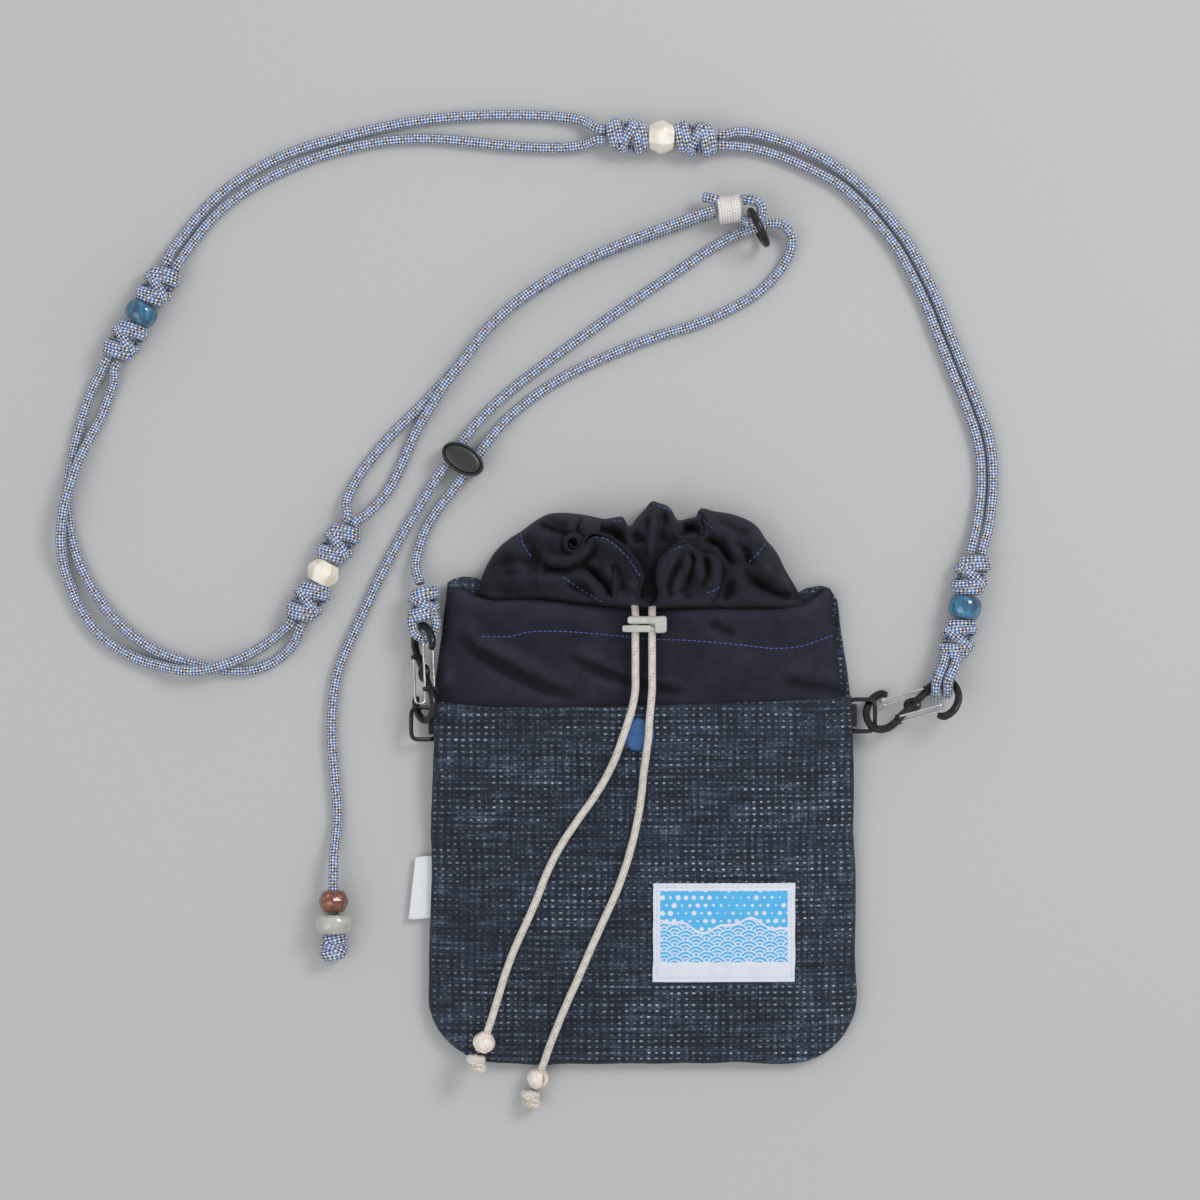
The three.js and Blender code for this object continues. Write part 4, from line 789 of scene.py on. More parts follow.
stub = tube_object("eye_cut_end_braided", stub_line, STRAP_RADIUS, 12)
dressed(stub, "pouch", "strap_cord", strap_braid, "eye_cut_end")
print("eye loop is", round(line_length(cord_lines["whipped_eye"]) * 1000), "mm long")

# %% [markdown]
# The drawstring's end knots are overhand knots in the cream cord: one turn round, then the
# end tucked under. A short torus-like winding shows that.

# %% Drawstring end knots
def string_knot(name, node, centre, direction, size):
    length, width, depth = (value * MM for value in size)
    matrix = turned_flat(centre, math.atan2(direction[1], direction[0]))
    parts = []
    for start in (0, math.pi):
        line = []
        for share in np.linspace(0, 1, 60):
            angle = start + 2 * math.pi * 1.4 * share
            ends = min(1.0, 5 * min(share, 1 - share) + 0.3)
            x = (share - 0.5) * (length - 2 * STRING_RADIUS) * (1 if start == 0 else -0.9)
            line.append((x, math.cos(angle) * (width / 2 - STRING_RADIUS) * ends,
                         math.sin(angle) * (depth / 2 - STRING_RADIUS) * ends))
        parts.append(tube_parts(placed_line(resampled(np.array(line), 0.9 * MM), matrix), STRING_RADIUS,
            10))
    core = np.linspace((-length * 0.4, 0, 0), (length * 0.4, 0, 0), 5)
    parts.append(tube_parts(placed_line(core, matrix), STRING_RADIUS * 1.5, 8))
    return dressed(joined(name, parts), "pouch", "cream_cord", cream_braid, node)


for side, centre, ahead, size in (
    ("left", (-66.0, -95.4, 14.0), (-0.33, -0.94), (8.2, 9.4, 8.0)),
    ("right", (-44.6, -110.6, 4.1), (-0.32, -0.86), (8.4, 9.4, 8.0)),
):
    node = side + "_drawstring_knot"
    knots[node] = string_knot(node + "_tied", node, centre, ahead, size)
print("drawstring knots are tied")

# %% [markdown]
# The pouch's cloth pieces follow the same outline and the same heights as their solids in the
# frame. On the table the filled bag swells in the middle and thins to nothing at its seams.
# The outline's driving sizes come first, in millimetres, then the height of each layer.

# %% Outline and heights of the pouch
BODY_WIDTH, POCKET_TOP_WIDTH, SHOULDER_WIDTH = 171.0, 166.5, 153.0
BODY_BOTTOM, CORNER_RADIUS = -96.5, 28.0
POCKET_TOP, RIM_MIDDLE, RIM_CORNER = 47.0, 85.0, 94.0
BAG_UNDERSIDE = 1.8
BAG_HEIGHT, BAG_HEM, BAG_SHOULDER = 11.0, 1.4, 4.0
HEM_LEVEL, SHOULDER_LEVEL = -5.0, 15.0
CROWN_FLAT, CROWN_POWER, CROWN_START = 0.3, 2.4, -40.0
SNAP_CENTRE = (-2.0, 35.3)
SNAP_LIFT, SNAP_INNER, SNAP_OUTER = 2.9, 10.0, 25.0


def half_width(y):
    """Half the pouch's width at each height, in millimetres."""
    corner = BODY_BOTTOM + CORNER_RADIUS
    down = np.clip(corner - y, 0, CORNER_RADIUS)
    round_part = BODY_WIDTH / 2 - CORNER_RADIUS + np.sqrt(CORNER_RADIUS**2 - down**2)
    lower = np.interp(y, [corner, POCKET_TOP], [BODY_WIDTH / 2, POCKET_TOP_WIDTH / 2])
    upper = np.interp(y, [POCKET_TOP, RIM_CORNER], [POCKET_TOP_WIDTH / 2, SHOULDER_WIDTH / 2])
    return np.where(y < corner, round_part, np.where(y < POCKET_TOP, lower, upper))


def bag_top(x, y):
    edge = np.interp(y, [HEM_LEVEL, SHOULDER_LEVEL], [BAG_HEM, BAG_SHOULDER])
    side = np.clip(np.abs(x) / half_width(y) - CROWN_FLAT, 0, None) / (1 - CROWN_FLAT)
    down = np.clip(CROWN_START - y, 0, None) / (CROWN_START - BODY_BOTTOM)
    crown = np.clip(1 - side**CROWN_POWER, 0, 1) * np.clip(1 - down**CROWN_POWER, 0, 1)
    return BAG_UNDERSIDE + edge + (BAG_HEIGHT - edge) * crown


def front_top(x, y):
    return bag_top(x, y) + 1.3


def pocket_top(x, y):
    away = np.clip((np.hypot(x - SNAP_CENTRE[0],
        y - SNAP_CENTRE[1]) - SNAP_INNER) / (SNAP_OUTER - SNAP_INNER), 0, 1)
    lift = SNAP_LIFT * (1 - away * away * (3 - 2 * away))
    return front_top(x, y) + 0.3 + lift + 1.4


def smooth_step(value, low, high):
    share = np.clip((value - low) / (high - low), 0, 1)
    return share * share * (3 - 2 * share)


def wave_noise(x, y, size, seed):
    """Smooth seeded unevenness, about -1 to 1, from a few crossed waves of that size."""
    random = np.random.default_rng(seed)
    total = np.zeros_like(x, dtype=float)
    for octave in range(4):
        for _ in range(3):
            angle = random.uniform(0, math.pi)
            phase = random.uniform(0, 2 * math.pi)
            pace = 2 * math.pi / (size * random.uniform(0.75, 1.35) / 1.7**octave)
            total += np.sin((x * math.cos(angle) + y * math.sin(angle)) * pace + phase) * 0.5**octave
    return total / 3.6


def distance_to_line(x, y, points):
    """Distance from each place to a line of points, and how far along it, from 0 to 1."""
    points = np.array(points, float)
    best = np.full(x.shape, 1e9)
    share = np.zeros_like(x, dtype=float)
    run = np.concatenate([[0], np.cumsum(np.linalg.norm(np.diff(points, axis=0), axis=1))])
    for i, (a, b) in enumerate(zip(points, points[1:])):
        step = b - a
        t = np.clip(((x - a[0]) * step[0] + (y - a[1]) * step[1]) / step.dot(step), 0, 1)
        away = np.hypot(x - a[0] - t * step[0], y - a[1] - t * step[1])
        nearer = away < best
        best = np.where(nearer, away, best)
        share = np.where(nearer, (run[i] + t * (run[i + 1] - run[i])) / run[-1], share)
    return best, share


def fold(x, y, points, height, width):
    """A rounded ridge, or a valley if height is negative, that fades at both ends."""
    away, share = distance_to_line(x, y, points)
    fade = np.clip(4 * share, 0, 1) * np.clip(4 * (1 - share), 0, 1)
    return height * np.exp(-((away / width) ** 2)) * fade


def photo(*points):
    """Places read off the photograph, in its pixels, as millimetres on the table."""
    return [((px - 642.5) * 0.4, (821 - py) * 0.4) for px, py in points]


RIM_LINE = photo(
    (446, 586), (451, 585), (457, 587), (464, 590), (476, 596), (496, 600), (528, 599), (559, 601),
    (604, 606), (642, 609), (687, 608), (719, 608), (780, 608), (802, 606), (814, 598), (824, 589),
    (832, 588))
RIM_X, RIM_Y = np.array(RIM_LINE).T


def rim_height(x):
    """The front rim's place up the pouch, as the photograph shows it."""
    return np.interp(x, RIM_X, RIM_Y)


def blurred(z, reach, axis):
    """A running mean along one direction of the grid."""
    pad = [(reach, reach) if a == axis else (0, 0) for a in range(2)]
    total = np.cumsum(np.pad(z, pad, mode="edge"), axis=axis)
    count = 2 * reach
    low = [slice(None), slice(None)]
    high = [slice(None), slice(None)]
    low[axis], high[axis] = slice(0, -count), slice(count, None)
    return (total[tuple(high)] - total[tuple(low)]) / count


def fold_depth(z):
    """How far each point stands above the cloth around it, in millimetres."""
    near = blurred(blurred(z, 3, 0), 3, 1)
    wide = blurred(blurred(z, 9, 0), 9, 1)
    return (z - near) * 1.5 + (z - wide)


def cloth_grid(name, place, height, columns, rows, thickness):
    """A sheet over a grid of shares (0 to 1 both ways), made solid below its surface."""
    s, t = np.meshgrid(np.linspace(0, 1, columns), np.linspace(0, 1, rows))
    x, y = place(s, t)
    z = height(x, y, s, t)
    vertices = np.column_stack([x.ravel(), y.ravel(), z.ravel()]) * MM
    faces, maps = [], []
    for r in range(rows - 1):
        for c in range(columns - 1):
            a = r * columns + c
            corners = (a, a + 1, a + columns + 1, a + columns)
            faces.append(corners)
            maps.append([(x.flat[i] * MM, y.flat[i] * MM) for i in corners])
    sheet = new_object(name, vertices, faces, maps)
    # The fold depth is kept for the cloth materials, which paint shade into the hollows and highlight onto
    # the ridges from it.
    hollow = sheet.data.attributes.new("fold_depth", "FLOAT", "POINT")
    hollow.data.foreach_set("value", fold_depth(z).ravel())
    thicken(sheet, thickness)
    return sheet


def thicken(sheet, thickness, offset=-1.0):
    """Gives a sheet its real thickness with a Solidify modifier, then applies it."""
    finish_modifier(sheet, "SOLIDIFY", thickness=thickness * MM, offset=offset)


print("pouch heights at the middle:", float(front_top(0, 0)), float(pocket_top(0, 0)))

# %% [markdown]
# The denim is a hand-loom look: dark indigo twill with rows of pale running dashes. Dashes are
# a brick pattern, each with its own brightness. Slubs, which are thicker stretches of yarn,
# lighten or darken whole rows for a while, and the twill's slant fills the ground between.

# %% Denim group
nodes, given, out = new_group(
    "dash_rows",
    [("Place", "NodeSocketVector", None), ("Across", "NodeSocketFloat", 0.00295),
     ("Apart", "NodeSocketFloat", 0.00245), ("Length", "NodeSocketFloat", 0.36),
     ("Width", "NodeSocketFloat", 0.27)],
    [("Dash", "NodeSocketFloat"), ("Row", "NodeSocketFloat"), ("Cell", "NodeSocketFloat")],
)
x, y, _ = nodes.parts(given["Place"])
wander = nodes.times(nodes.minus(nodes.noise(given["Place"], 55, 2), 0.5), 0.0011)
row_place = nodes.over(nodes.plus(y, wander), given["Apart"])
row = nodes.math("FLOOR", row_place)
shift = nodes.times(nodes.noise(nodes.scaled(given["Place"], (3, 60, 3)), 1.0, 2), 1.3)
wander_x = nodes.times(nodes.minus(nodes.noise(given["Place"], 240, 2), 0.5), 0.0009)
column_place = nodes.plus(nodes.over(nodes.plus(x, wander_x), given["Across"]), shift)
column = nodes.math("FLOOR", column_place)
across = nodes.math("ABSOLUTE", nodes.minus(nodes.math("FRACT", column_place), 0.5))
upward = nodes.math("ABSOLUTE", nodes.minus(nodes.math("FRACT", row_place), 0.5))
in_length = nodes.stretch(across, nodes.times(given["Length"], 0.62), nodes.times(given["Length"], 0.36),
    0, 1)
in_width = nodes.stretch(upward, nodes.times(given["Width"], 0.62), nodes.times(given["Width"], 0.3), 0, 1)
cell = nodes.add("ShaderNodeTexWhiteNoise", {"Vector": nodes.vector(column, row)},
    noise_dimensions="2D").outputs[0]
nodes.put(out["Dash"], nodes.times(in_length, in_width))
nodes.put(out["Row"], row)
nodes.put(out["Cell"], cell)
print("denim rows:", len(nodes.tree.nodes), "nodes")

# %% Denim, cotton and thread materials
def painted_fold_shade(nodes, hollow_painted_shade, ridge_painted_highlight):
    """Painted shade in the hollows of the folds and painted highlight on their ridges, from the fold depth.
    """
    depth = nodes.add("ShaderNodeAttribute", attribute_name="fold_depth").outputs["Fac"]
    low = nodes.stretch(depth, -1.6, 0.0, hollow_painted_shade, 1.0)
    return nodes.times(low, nodes.stretch(depth, 0.0, 1.4, 1.0, ridge_painted_highlight))


def denim_material(name):
    material, nodes, shader, places = new_material(name, roughness=0.92, Sheen_Weight=0.06)
    place = places["Object"]
    rows = use_group(nodes, "dash_rows", Place=place)
    x, y, _ = nodes.parts(place)
    streaks = nodes.noise(nodes.scaled(place, (60, 900, 60)), 1.0, 3, 0.6)
    upright = nodes.noise(nodes.scaled(place, (900, 60, 60)), 1.0, 3, 0.6)
    clouds = nodes.noise(place, 42, 3, 0.6)
    slant = nodes.math("SINE", nodes.times(nodes.plus(x, y), 2 * math.pi / 0.00085))
    speckle = nodes.noise(place, 1700, 2, 0.7)
    ground = nodes.plus(nodes.times(slant, 0.11), nodes.stretch(speckle, 0.3, 0.7, -0.1, 0.9))
    ground = nodes.plus(nodes.times(ground, 0.55), nodes.stretch(streaks, 0.38, 0.66, 0.0, 0.45))
    ground = nodes.plus(ground, nodes.stretch(upright, 0.4, 0.68, -0.05, 0.28))
    indigo = nodes.stops(ground, [linear(10, 13, 20), linear(20, 28, 42), linear(40, 54, 74),
        linear(98, 118, 138)], False)
    row_light = nodes.add("ShaderNodeTexWhiteNoise", {"W": rows["Row"]}, noise_dimensions="1D").outputs[0]
    strength = nodes.times(nodes.stretch(rows["Cell"], 0.05, 0.95, 0.1, 0.9),
        nodes.stretch(clouds, 0.36, 0.64, 0.3, 1.0))
    strength = nodes.times(strength, nodes.stretch(row_light, 0, 1, 0.55, 1.1))
    dash = nodes.times(rows["Dash"], strength)
    mixed = nodes.blend(dash, indigo, linear(208, 214, 218))
    bands = nodes.noise(nodes.scaled(place, (9, 210, 9)), 1.0, 3, 0.65)
    shade = nodes.times(nodes.stretch(clouds, 0.3, 0.7, 0.86, 1.1),
        nodes.stretch(bands, 0.34, 0.66, 0.66, 1.24))
    # Painted shade in the folds and painted highlight on their ridges.
    shade = nodes.times(shade, painted_fold_shade(nodes, 0.6, 1.25))
    nodes.put(shader["Base Color"], tinted(nodes, mixed, shade))
    twill = nodes.times(nodes.stretch(slant, -1, 1), 0.5)
    height = nodes.plus(nodes.plus(nodes.times(rows["Dash"], 0.6), twill), nodes.times(speckle, 0.6))
    relief(nodes, shader, height, 0.00035)
    return material


def cotton_material(name, base, light, hollow_painted_shade=0.55, ridge_painted_highlight=1.3):
    material, nodes, shader, places = new_material(name, roughness=0.9, Sheen_Weight=0.04,
        Specular_IOR_Level=0.25)
    place = places["Object"]
    weave = use_group(nodes, "plain_weave", Place=place, Thread=0.00042)["Height"]
    mottle = use_group(nodes, "mottle", Place=place, Size=0.012)["Shade"]
    lint = nodes.noise(place, 2600, 2, 0.6)
    mixed = nodes.blend(mottle, base, light)
    # Painted shade in the weave's low points and painted highlight on its crowns; the lint is random tone.
    shade = nodes.times(nodes.stretch(weave, 0, 1, 0.86, 1.08), nodes.stretch(lint, 0.3, 0.7, 0.88, 1.12))
    # Painted shade in the folds and painted highlight on their ridges.
    shade = nodes.times(shade, painted_fold_shade(nodes, hollow_painted_shade, ridge_painted_highlight))
    nodes.put(shader["Base Color"], tinted(nodes, mixed, shade))
    relief(nodes, shader, nodes.plus(weave, nodes.times(lint, 0.5)), 0.00012)
    return material


denim = denim_material("dashed_denim")
# The last two numbers set the painted shade in the folds and the painted highlight on the ridges.
navy_cotton = cotton_material("navy_cotton", linear(28, 27, 38), linear(42, 41, 55), 0.42, 1.5)
# The collar and its hem get the same navy cloth painted darker all over, as painted shade, with deeper
# painted shade in the folds and brighter painted highlight on the ridges.
navy_cotton_painted_shade = cotton_material("navy_cotton_painted_shade", linear(19, 19, 27), linear(31, 30, 41), 0.2, 1.9)
white_tape = cotton_material("white_tape", linear(226, 228, 230), linear(240, 241, 242), 1.0, 1.0)
thread_blue, nodes, shader, places = new_material("periwinkle_thread", roughness=0.6)
lustre = nodes.noise(places["Object"], 3000, 2)
paint(nodes, shader, lustre, (70, 82, 158), (104, 118, 196))
print("cloth materials:", denim.name, navy_cotton.name, white_tape.name)

# %% [markdown]
# The back panel and the pocket are single layers of denim. Each is a grid of points on the
# outline, with its edge rolled over towards the seam, so that no raw slab edge shows. Small
# seeded unevenness keeps the cloth from looking moulded. The back lies flat on the table.

# %% Back panel and pocket
def outline_place(low, high, inset):
    """Where the grid's shares fall on the pouch, from the height low to high."""
    def place(s, t):
        column = 2 * s - 1
        share = t * t * (3 - 2 * t) * 0.25 + t * 0.75
        y = low + (high - low) * share
        corner = BODY_BOTTOM + CORNER_RADIUS
        swell = np.sign(column) * np.abs(column) ** np.where(y < corner, 0.85, 0.92)
        x = swell * (half_width(y) - inset)
        side_wave = 0.55 * wave_noise(x * 0 + 3 * np.sign(x), y, 34, 51) * smooth_step(np.abs(x), 55, 84)
        low_wave = 0.7 * wave_noise(x, y * 0, 38, 52) * (1 - smooth_step(y, BODY_BOTTOM, BODY_BOTTOM + 34))
        return x + side_wave, y + low_wave
    return place


def edge_roll(x, y, reach, drop):
    """How far the cloth dips near the side and bottom seams."""
    gap_side = half_width(y) - np.abs(x)
    gap_low = y - BODY_BOTTOM
    near = np.minimum(gap_side, gap_low)
    dip = np.clip(1 - near / reach, 0, 1)
    return drop * (1 - np.sqrt(np.clip(1 - dip**2, 0, 1)))


def back_height(x, y, s, t):
    """Flat on the table, but turned up at the two top corners, where the mouth opens."""
    corner = smooth_step(y, 74, 92) * smooth_step(np.abs(x), 46, 62)
    return 1.5 + 0.12 * wave_noise(x, y, 40, 3) - edge_roll(x, y, 2.0, 0.8) + 3.6 * corner


BACK_RIM = photo(
    (437, 590), (447, 583), (454, 579), (464, 576.5), (478, 578), (490, 590), (520, 604), (650, 606),
    (780, 604),
    (795, 594), (806, 588), (820, 585.5), (829, 588), (836, 600))
BACK_X, BACK_Y = np.array(BACK_RIM).T


def back_place(s, t):
    x, y = outline_place(BODY_BOTTOM, RIM_MIDDLE, 0)(s, t)
    return x, y + (np.interp(x, BACK_X, BACK_Y) - RIM_MIDDLE) * smooth_step(y, 20, RIM_MIDDLE)


back = cloth_grid("back_denim", back_place, back_height, 150, 130, 1.1)
dressed(back, "pouch", "denim", denim, "back_panel")

POCKET_FOLDS = [
    (photo((470, 760), (560, 752), (640, 760)), -0.5, 5),
    (photo((600, 820), (700, 812), (820, 822)), 0.5, 8),
    (photo((450, 905), (540, 915), (620, 905)), 0.5, 9),
    (photo((480, 1000), (560, 985), (640, 1000)), -0.5, 8),
    (photo((690, 770), (760, 765), (840, 772)), -0.4, 6),
    (photo((700, 1020), (770, 1000), (835, 960)), 0.5, 9),
]


def pocket_height(x, y, s, t):
    z = pocket_top(x, y) + 0.35 * wave_noise(x, y, 34, 11) + 0.12 * wave_noise(x, y, 7, 12)
    for points, height, width in POCKET_FOLDS:
        z = z + fold(x, y, points, height, width)
    z = z - edge_roll(x, y, 5.5, 2.2)
    lip = np.clip(1 - (POCKET_TOP - y) / 1.6, 0, 1)
    return np.maximum(z - 0.5 * lip**2, 3.2)


def pocket_place(s, t):
    x, y = outline_place(BODY_BOTTOM, POCKET_TOP, 0)(s, t)
    sag = np.interp(x, [-85, -60, -20, 20, 60, 85], [1.2, -1.2, -0.9, 0.1, 1.4, 3.2])
    return x, y + sag * smooth_step(y, 0, POCKET_TOP)


pocket = cloth_grid("pocket_denim", pocket_place, pocket_height, 170, 150, 1.3)
dressed(pocket, "pouch", "denim", denim, "pocket_panel")
print("pocket has", len(pocket.data.polygons), "faces")

# %% [markdown]
# The navy front panel shows above the pocket. Its folds are the ones in the photograph: two
# long creases run down to the right on the left half, and softer ones lie lower on the right.
# It rolls over at the rim, and a row of periwinkle stitches follows the rim 12 mm below it.

# %% Front panel
FRONT_FOLDS = [
    (photo((458, 628), (472, 648), (505, 668), (547, 689), (585, 697)), -1.5, 3.0),
    (photo((462, 618), (482, 640), (515, 655), (556, 676)), 1.1, 4.0),
    (photo((566, 652), (585, 664), (610, 674), (645, 684), (690, 694)), -1.3, 3.0),
    (photo((572, 645), (600, 658), (640, 670), (680, 682)), 0.8, 4.0),
    (photo((706, 620), (722, 629), (736, 634)), -0.9, 2.2),
    (photo((775, 676), (810, 686), (852, 692)), -0.9, 3.5),
    (photo((440, 640), (448, 665), (446, 690)), 0.8, 4.0),
    (photo((700, 650), (760, 664), (830, 668)), 0.6, 7.0),
    (photo((500, 618), (560, 614), (620, 622)), 0.5, 5.0),
    (photo((835, 625), (840, 650), (846, 680)), -0.8, 3.0),
]


def front_height(x, y, s, t):
    z = front_top(x, y) + 0.45 * wave_noise(x, y, 26, 21) + 0.14 * wave_noise(x, y, 7, 22)
    for points, height, width in FRONT_FOLDS:
        z = z + 1.9 * fold(x, y, points, height, width * 0.85)
    below = np.clip((52 - y) / 8, 0, 1)
    z = z * (1 - below) + (front_top(x, y) - 0.2) * below
    z = z - edge_roll(x, y, 7.0, 2.6)
    roll = np.clip(1 - (rim_height(x) - y) / 3.2, 0, 1)
    near_lock = (1 - smooth_step(np.abs(x - 0.6), 12, 20)) * smooth_step(y, 52, 60)
    z = np.minimum(z, front_top(x, y) - 0.2) * near_lock + z * (1 - near_lock)
    return z - 2.6 * (1 - np.sqrt(np.clip(1 - roll**2, 0, 1)))


def front_place(s, t):
    """From behind the pocket up to the rim; the right side leaves a strip of denim bare."""
    x, y = outline_place(-10, RIM_MIDDLE, 1.0)(s, t)
    y = y + (rim_height(x) - RIM_MIDDLE) * smooth_step(y, 48, RIM_MIDDLE)
    bare = 2.4 * smooth_step(x, 30, 80) * smooth_step(y, POCKET_TOP - 6, POCKET_TOP + 6)
    return x - bare + 0.5 * wave_noise(x * 0, y, 16, 23) * smooth_step(np.abs(x), 60, 76), y


front = cloth_grid("front_cotton", front_place, front_height, 200, 120, 1.0)
dressed(front, "pouch", "navy_cotton", navy_cotton, "front_panel")
print("front panel has", len(front.data.polygons), "faces")

# %% [markdown]
# The collar is the drawn mouth of the inner bag. Its outline and its hem are traced as smooth
# lines in the photograph's pixels. The cloth is a fine grid under the outline, raised as a
# dome, dropped inside the hem where one looks into the mouth, and creased along ridges and
# valleys. A simulation would not find these particular folds, so they are modelled.

# %% Collar outline, hem and folds
COLLAR_OUTLINE = photo(
    (472, 603), (478, 590), (484, 572), (490, 560), (497, 550), (508, 540), (522, 531), (537, 520),
    (548, 514.5), (560, 513), (577, 514), (590, 516), (605, 519), (614, 517.5), (622, 517),
    (625.5, 521), (627.5, 526), (631, 526), (637, 518), (645, 509), (652, 501.5), (660, 503.5),
    (667, 506), (672, 511), (675, 517), (678, 520.5), (688, 518.5), (695.5, 517), (698, 511),
    (701, 508.5), (706, 509), (712, 511), (730, 514), (747, 520), (757, 527), (766, 540),
    (776, 552), (785, 570), (794, 585), (801, 597), (809, 605),
)
HEM_LINE = photo(
    (583, 541), (592, 534.5), (605, 536), (615, 541), (625, 549), (634, 560), (640, 571), (642, 577),
    (639, 588), (637.5, 597), (642, 602.5), (650, 605.5), (656, 602.5), (659, 592.5), (656.5, 580),
    (657.5, 567.5), (662.5, 557.5), (670, 550), (680, 543), (686, 543),
)
MOUTH_BACK = photo((694, 541), (702, 537), (704, 528), (700, 518), (697, 508), (601, 508), (601, 534))
DEEP_MOUTH = photo((678, 520), (696, 518), (703, 528), (700, 537), (684, 540), (676, 538))
SPIRAL_CENTRE = photo((574, 544))[0]
THROAT = photo((652, 603))[0]

COLLAR_FOLDS = [
    # Left lobe
    (photo((614, 601), (606, 586), (592, 571), (581, 564)), -3.4, 2.4),
    (photo((622, 592), (618, 578), (614, 563)), -2.6, 1.8),
    (photo((606, 604), (600, 590), (586, 577), (570, 572)), 1.5, 2.4),
    (photo((543, 562), (549, 569), (565, 571), (581, 565), (592, 554), (597, 541)), -3.0, 2.2),
    (photo((540, 552), (552, 560), (568, 560), (582, 553), (590, 544)), 1.8, 2.6),
    (photo((536, 521), (546, 527), (560, 532), (571, 535)), -2.2, 2.2),
    (photo((577, 514), (581, 521), (578, 528), (580, 535)), -1.8, 1.3),
    (photo((588, 517), (590, 524), (587, 532)), 1.0, 1.6),
    (photo((522, 532), (531, 545), (537, 560), (536, 575)), -1.3, 3.0),
    (photo((510, 540), (518, 556), (522, 575), (520, 592)), 1.2, 4.0),
    (photo((486, 582), (510, 580), (540, 578), (572, 582)), 1.2, 3.2),
    (photo((490, 592), (530, 596), (570, 601)), -1.2, 3.0),
    (photo((566, 584), (585, 592), (600, 603)), -1.4, 2.0),
    (photo((602, 524), (600, 533), (598, 540)), -1.6, 1.6),
    # Centre back flap
    (photo((652, 504), (652.5, 525), (650, 548), (648, 565)), 1.8, 1.8),
    (photo((630, 528), (640, 545), (644, 566)), -2.0, 2.0),
    (photo((663, 506), (665, 525), (660, 545)), -1.2, 1.8),
    (photo((612, 520), (622, 534), (636, 552)), 1.2, 2.0),
    # Right lobe
    (photo((700, 540), (708, 540), (719, 544), (726, 555), (733, 567)), -3.0, 2.0),
    (photo((708, 530), (724, 534), (736, 548), (742, 560)), 1.6, 3.0),
    (photo((740, 572), (762, 585), (802, 603)), -2.4, 3.0),
    (photo((745, 563), (768, 572), (792, 590)), 1.3, 3.2),
    (photo((776, 552), (782, 566), (790, 585), (799, 600)), -1.5, 1.6),
    (photo((731, 578), (728, 592), (723, 605)), -2.0, 2.2),
    (photo((690, 604), (684, 590), (688, 575)), -1.2, 2.4),
    (photo((668, 603), (668, 588), (674, 570), (682, 558)), -1.6, 1.8),
    (photo((676, 560), (690, 566), (704, 576), (708, 590)), 1.3, 3.0),
    (photo((712, 512), (722, 524), (740, 532), (757, 530)), -1.2, 2.6),
    (photo((735, 592), (750, 598), (775, 604)), 1.0, 2.6),
    (photo((688, 548), (692, 560), (690, 574), (684, 586)), -1.9, 1.5),
    (photo((700, 551), (706, 562), (706, 576), (700, 590)), -1.7, 1.6),
    (photo((712, 556), (714, 570), (712, 584)), 1.3, 1.6),
    (photo((730, 540), (744, 552), (752, 568)), -1.5, 2.0),
    (photo((748, 548), (760, 562), (768, 580)), 1.2, 2.2),
    (photo((744, 580), (764, 590), (790, 602)), -1.4, 1.8),
    (photo((500, 552), (516, 548), (534, 548)), 1.1, 2.4),
    (photo((496, 566), (520, 560), (540, 566)), -1.2, 2.2),
    (photo((548, 516), (556, 524), (570, 528)), -1.4, 1.6),
    (photo((552, 584), (570, 592), (590, 604)), 1.1, 1.8),
]
FOLD_DEPTH, FOLD_SHARPNESS = 1.7, 0.8
LOBE_EDGE = photo((686, 543), (699, 553), (713, 556), (720, 565), (720, 576), (718, 588), (712, 600))


def inside(x, y, polygon):
    """Which places lie inside a closed outline."""
    polygon = np.array(polygon, float)
    hit = np.zeros(x.shape, bool)
    for (x0, y0), (x1, y1) in zip(polygon, np.roll(polygon, -1, axis=0)):
        crosses = (y0 > y) != (y1 > y)
        reach = x0 + (y - y0) * (x1 - x0) / (y1 - y0 if y1 != y0 else 1e-9)
        hit ^= crosses & (x < reach)
    return hit


def smooth_path(points, step=0.4):
    """The same points as a smooth curve, in the plane."""
    line = smooth_line(np.column_stack([np.array(points), np.zeros(len(points))]), step)
    return line[:, :2]


hem_path = smooth_path(HEM_LINE)
outline_path = smooth_path(COLLAR_OUTLINE)
lobe_path = smooth_path(LOBE_EDGE)
print("hem line:", len(hem_path), "points")

# %% [markdown]
# The height works from the outside in: a dome that rolls over at the outline, more height
# along the hem, a drop inside the mouth, then the folds, and last the fine wrinkles.

# %% Collar heights
def signed_side(x, y, path):
    """Positive on the left of a path, negative on its right, as a distance."""
    best = np.full(x.shape, 1e9)
    signed = np.zeros(x.shape)
    for a, b in zip(path, path[1:]):
        step = b - a
        t = np.clip(((x - a[0]) * step[0] + (y - a[1]) * step[1]) / max(step.dot(step), 1e-12), 0, 1)
        dx, dy = x - a[0] - t * step[0], y - a[1] - t * step[1]
        away = np.hypot(dx, dy)
        nearer = away < best
        best = np.where(nearer, away, best)
        signed = np.where(nearer, np.sign(step[0] * dy - step[1] * dx) * away, signed)
    return signed


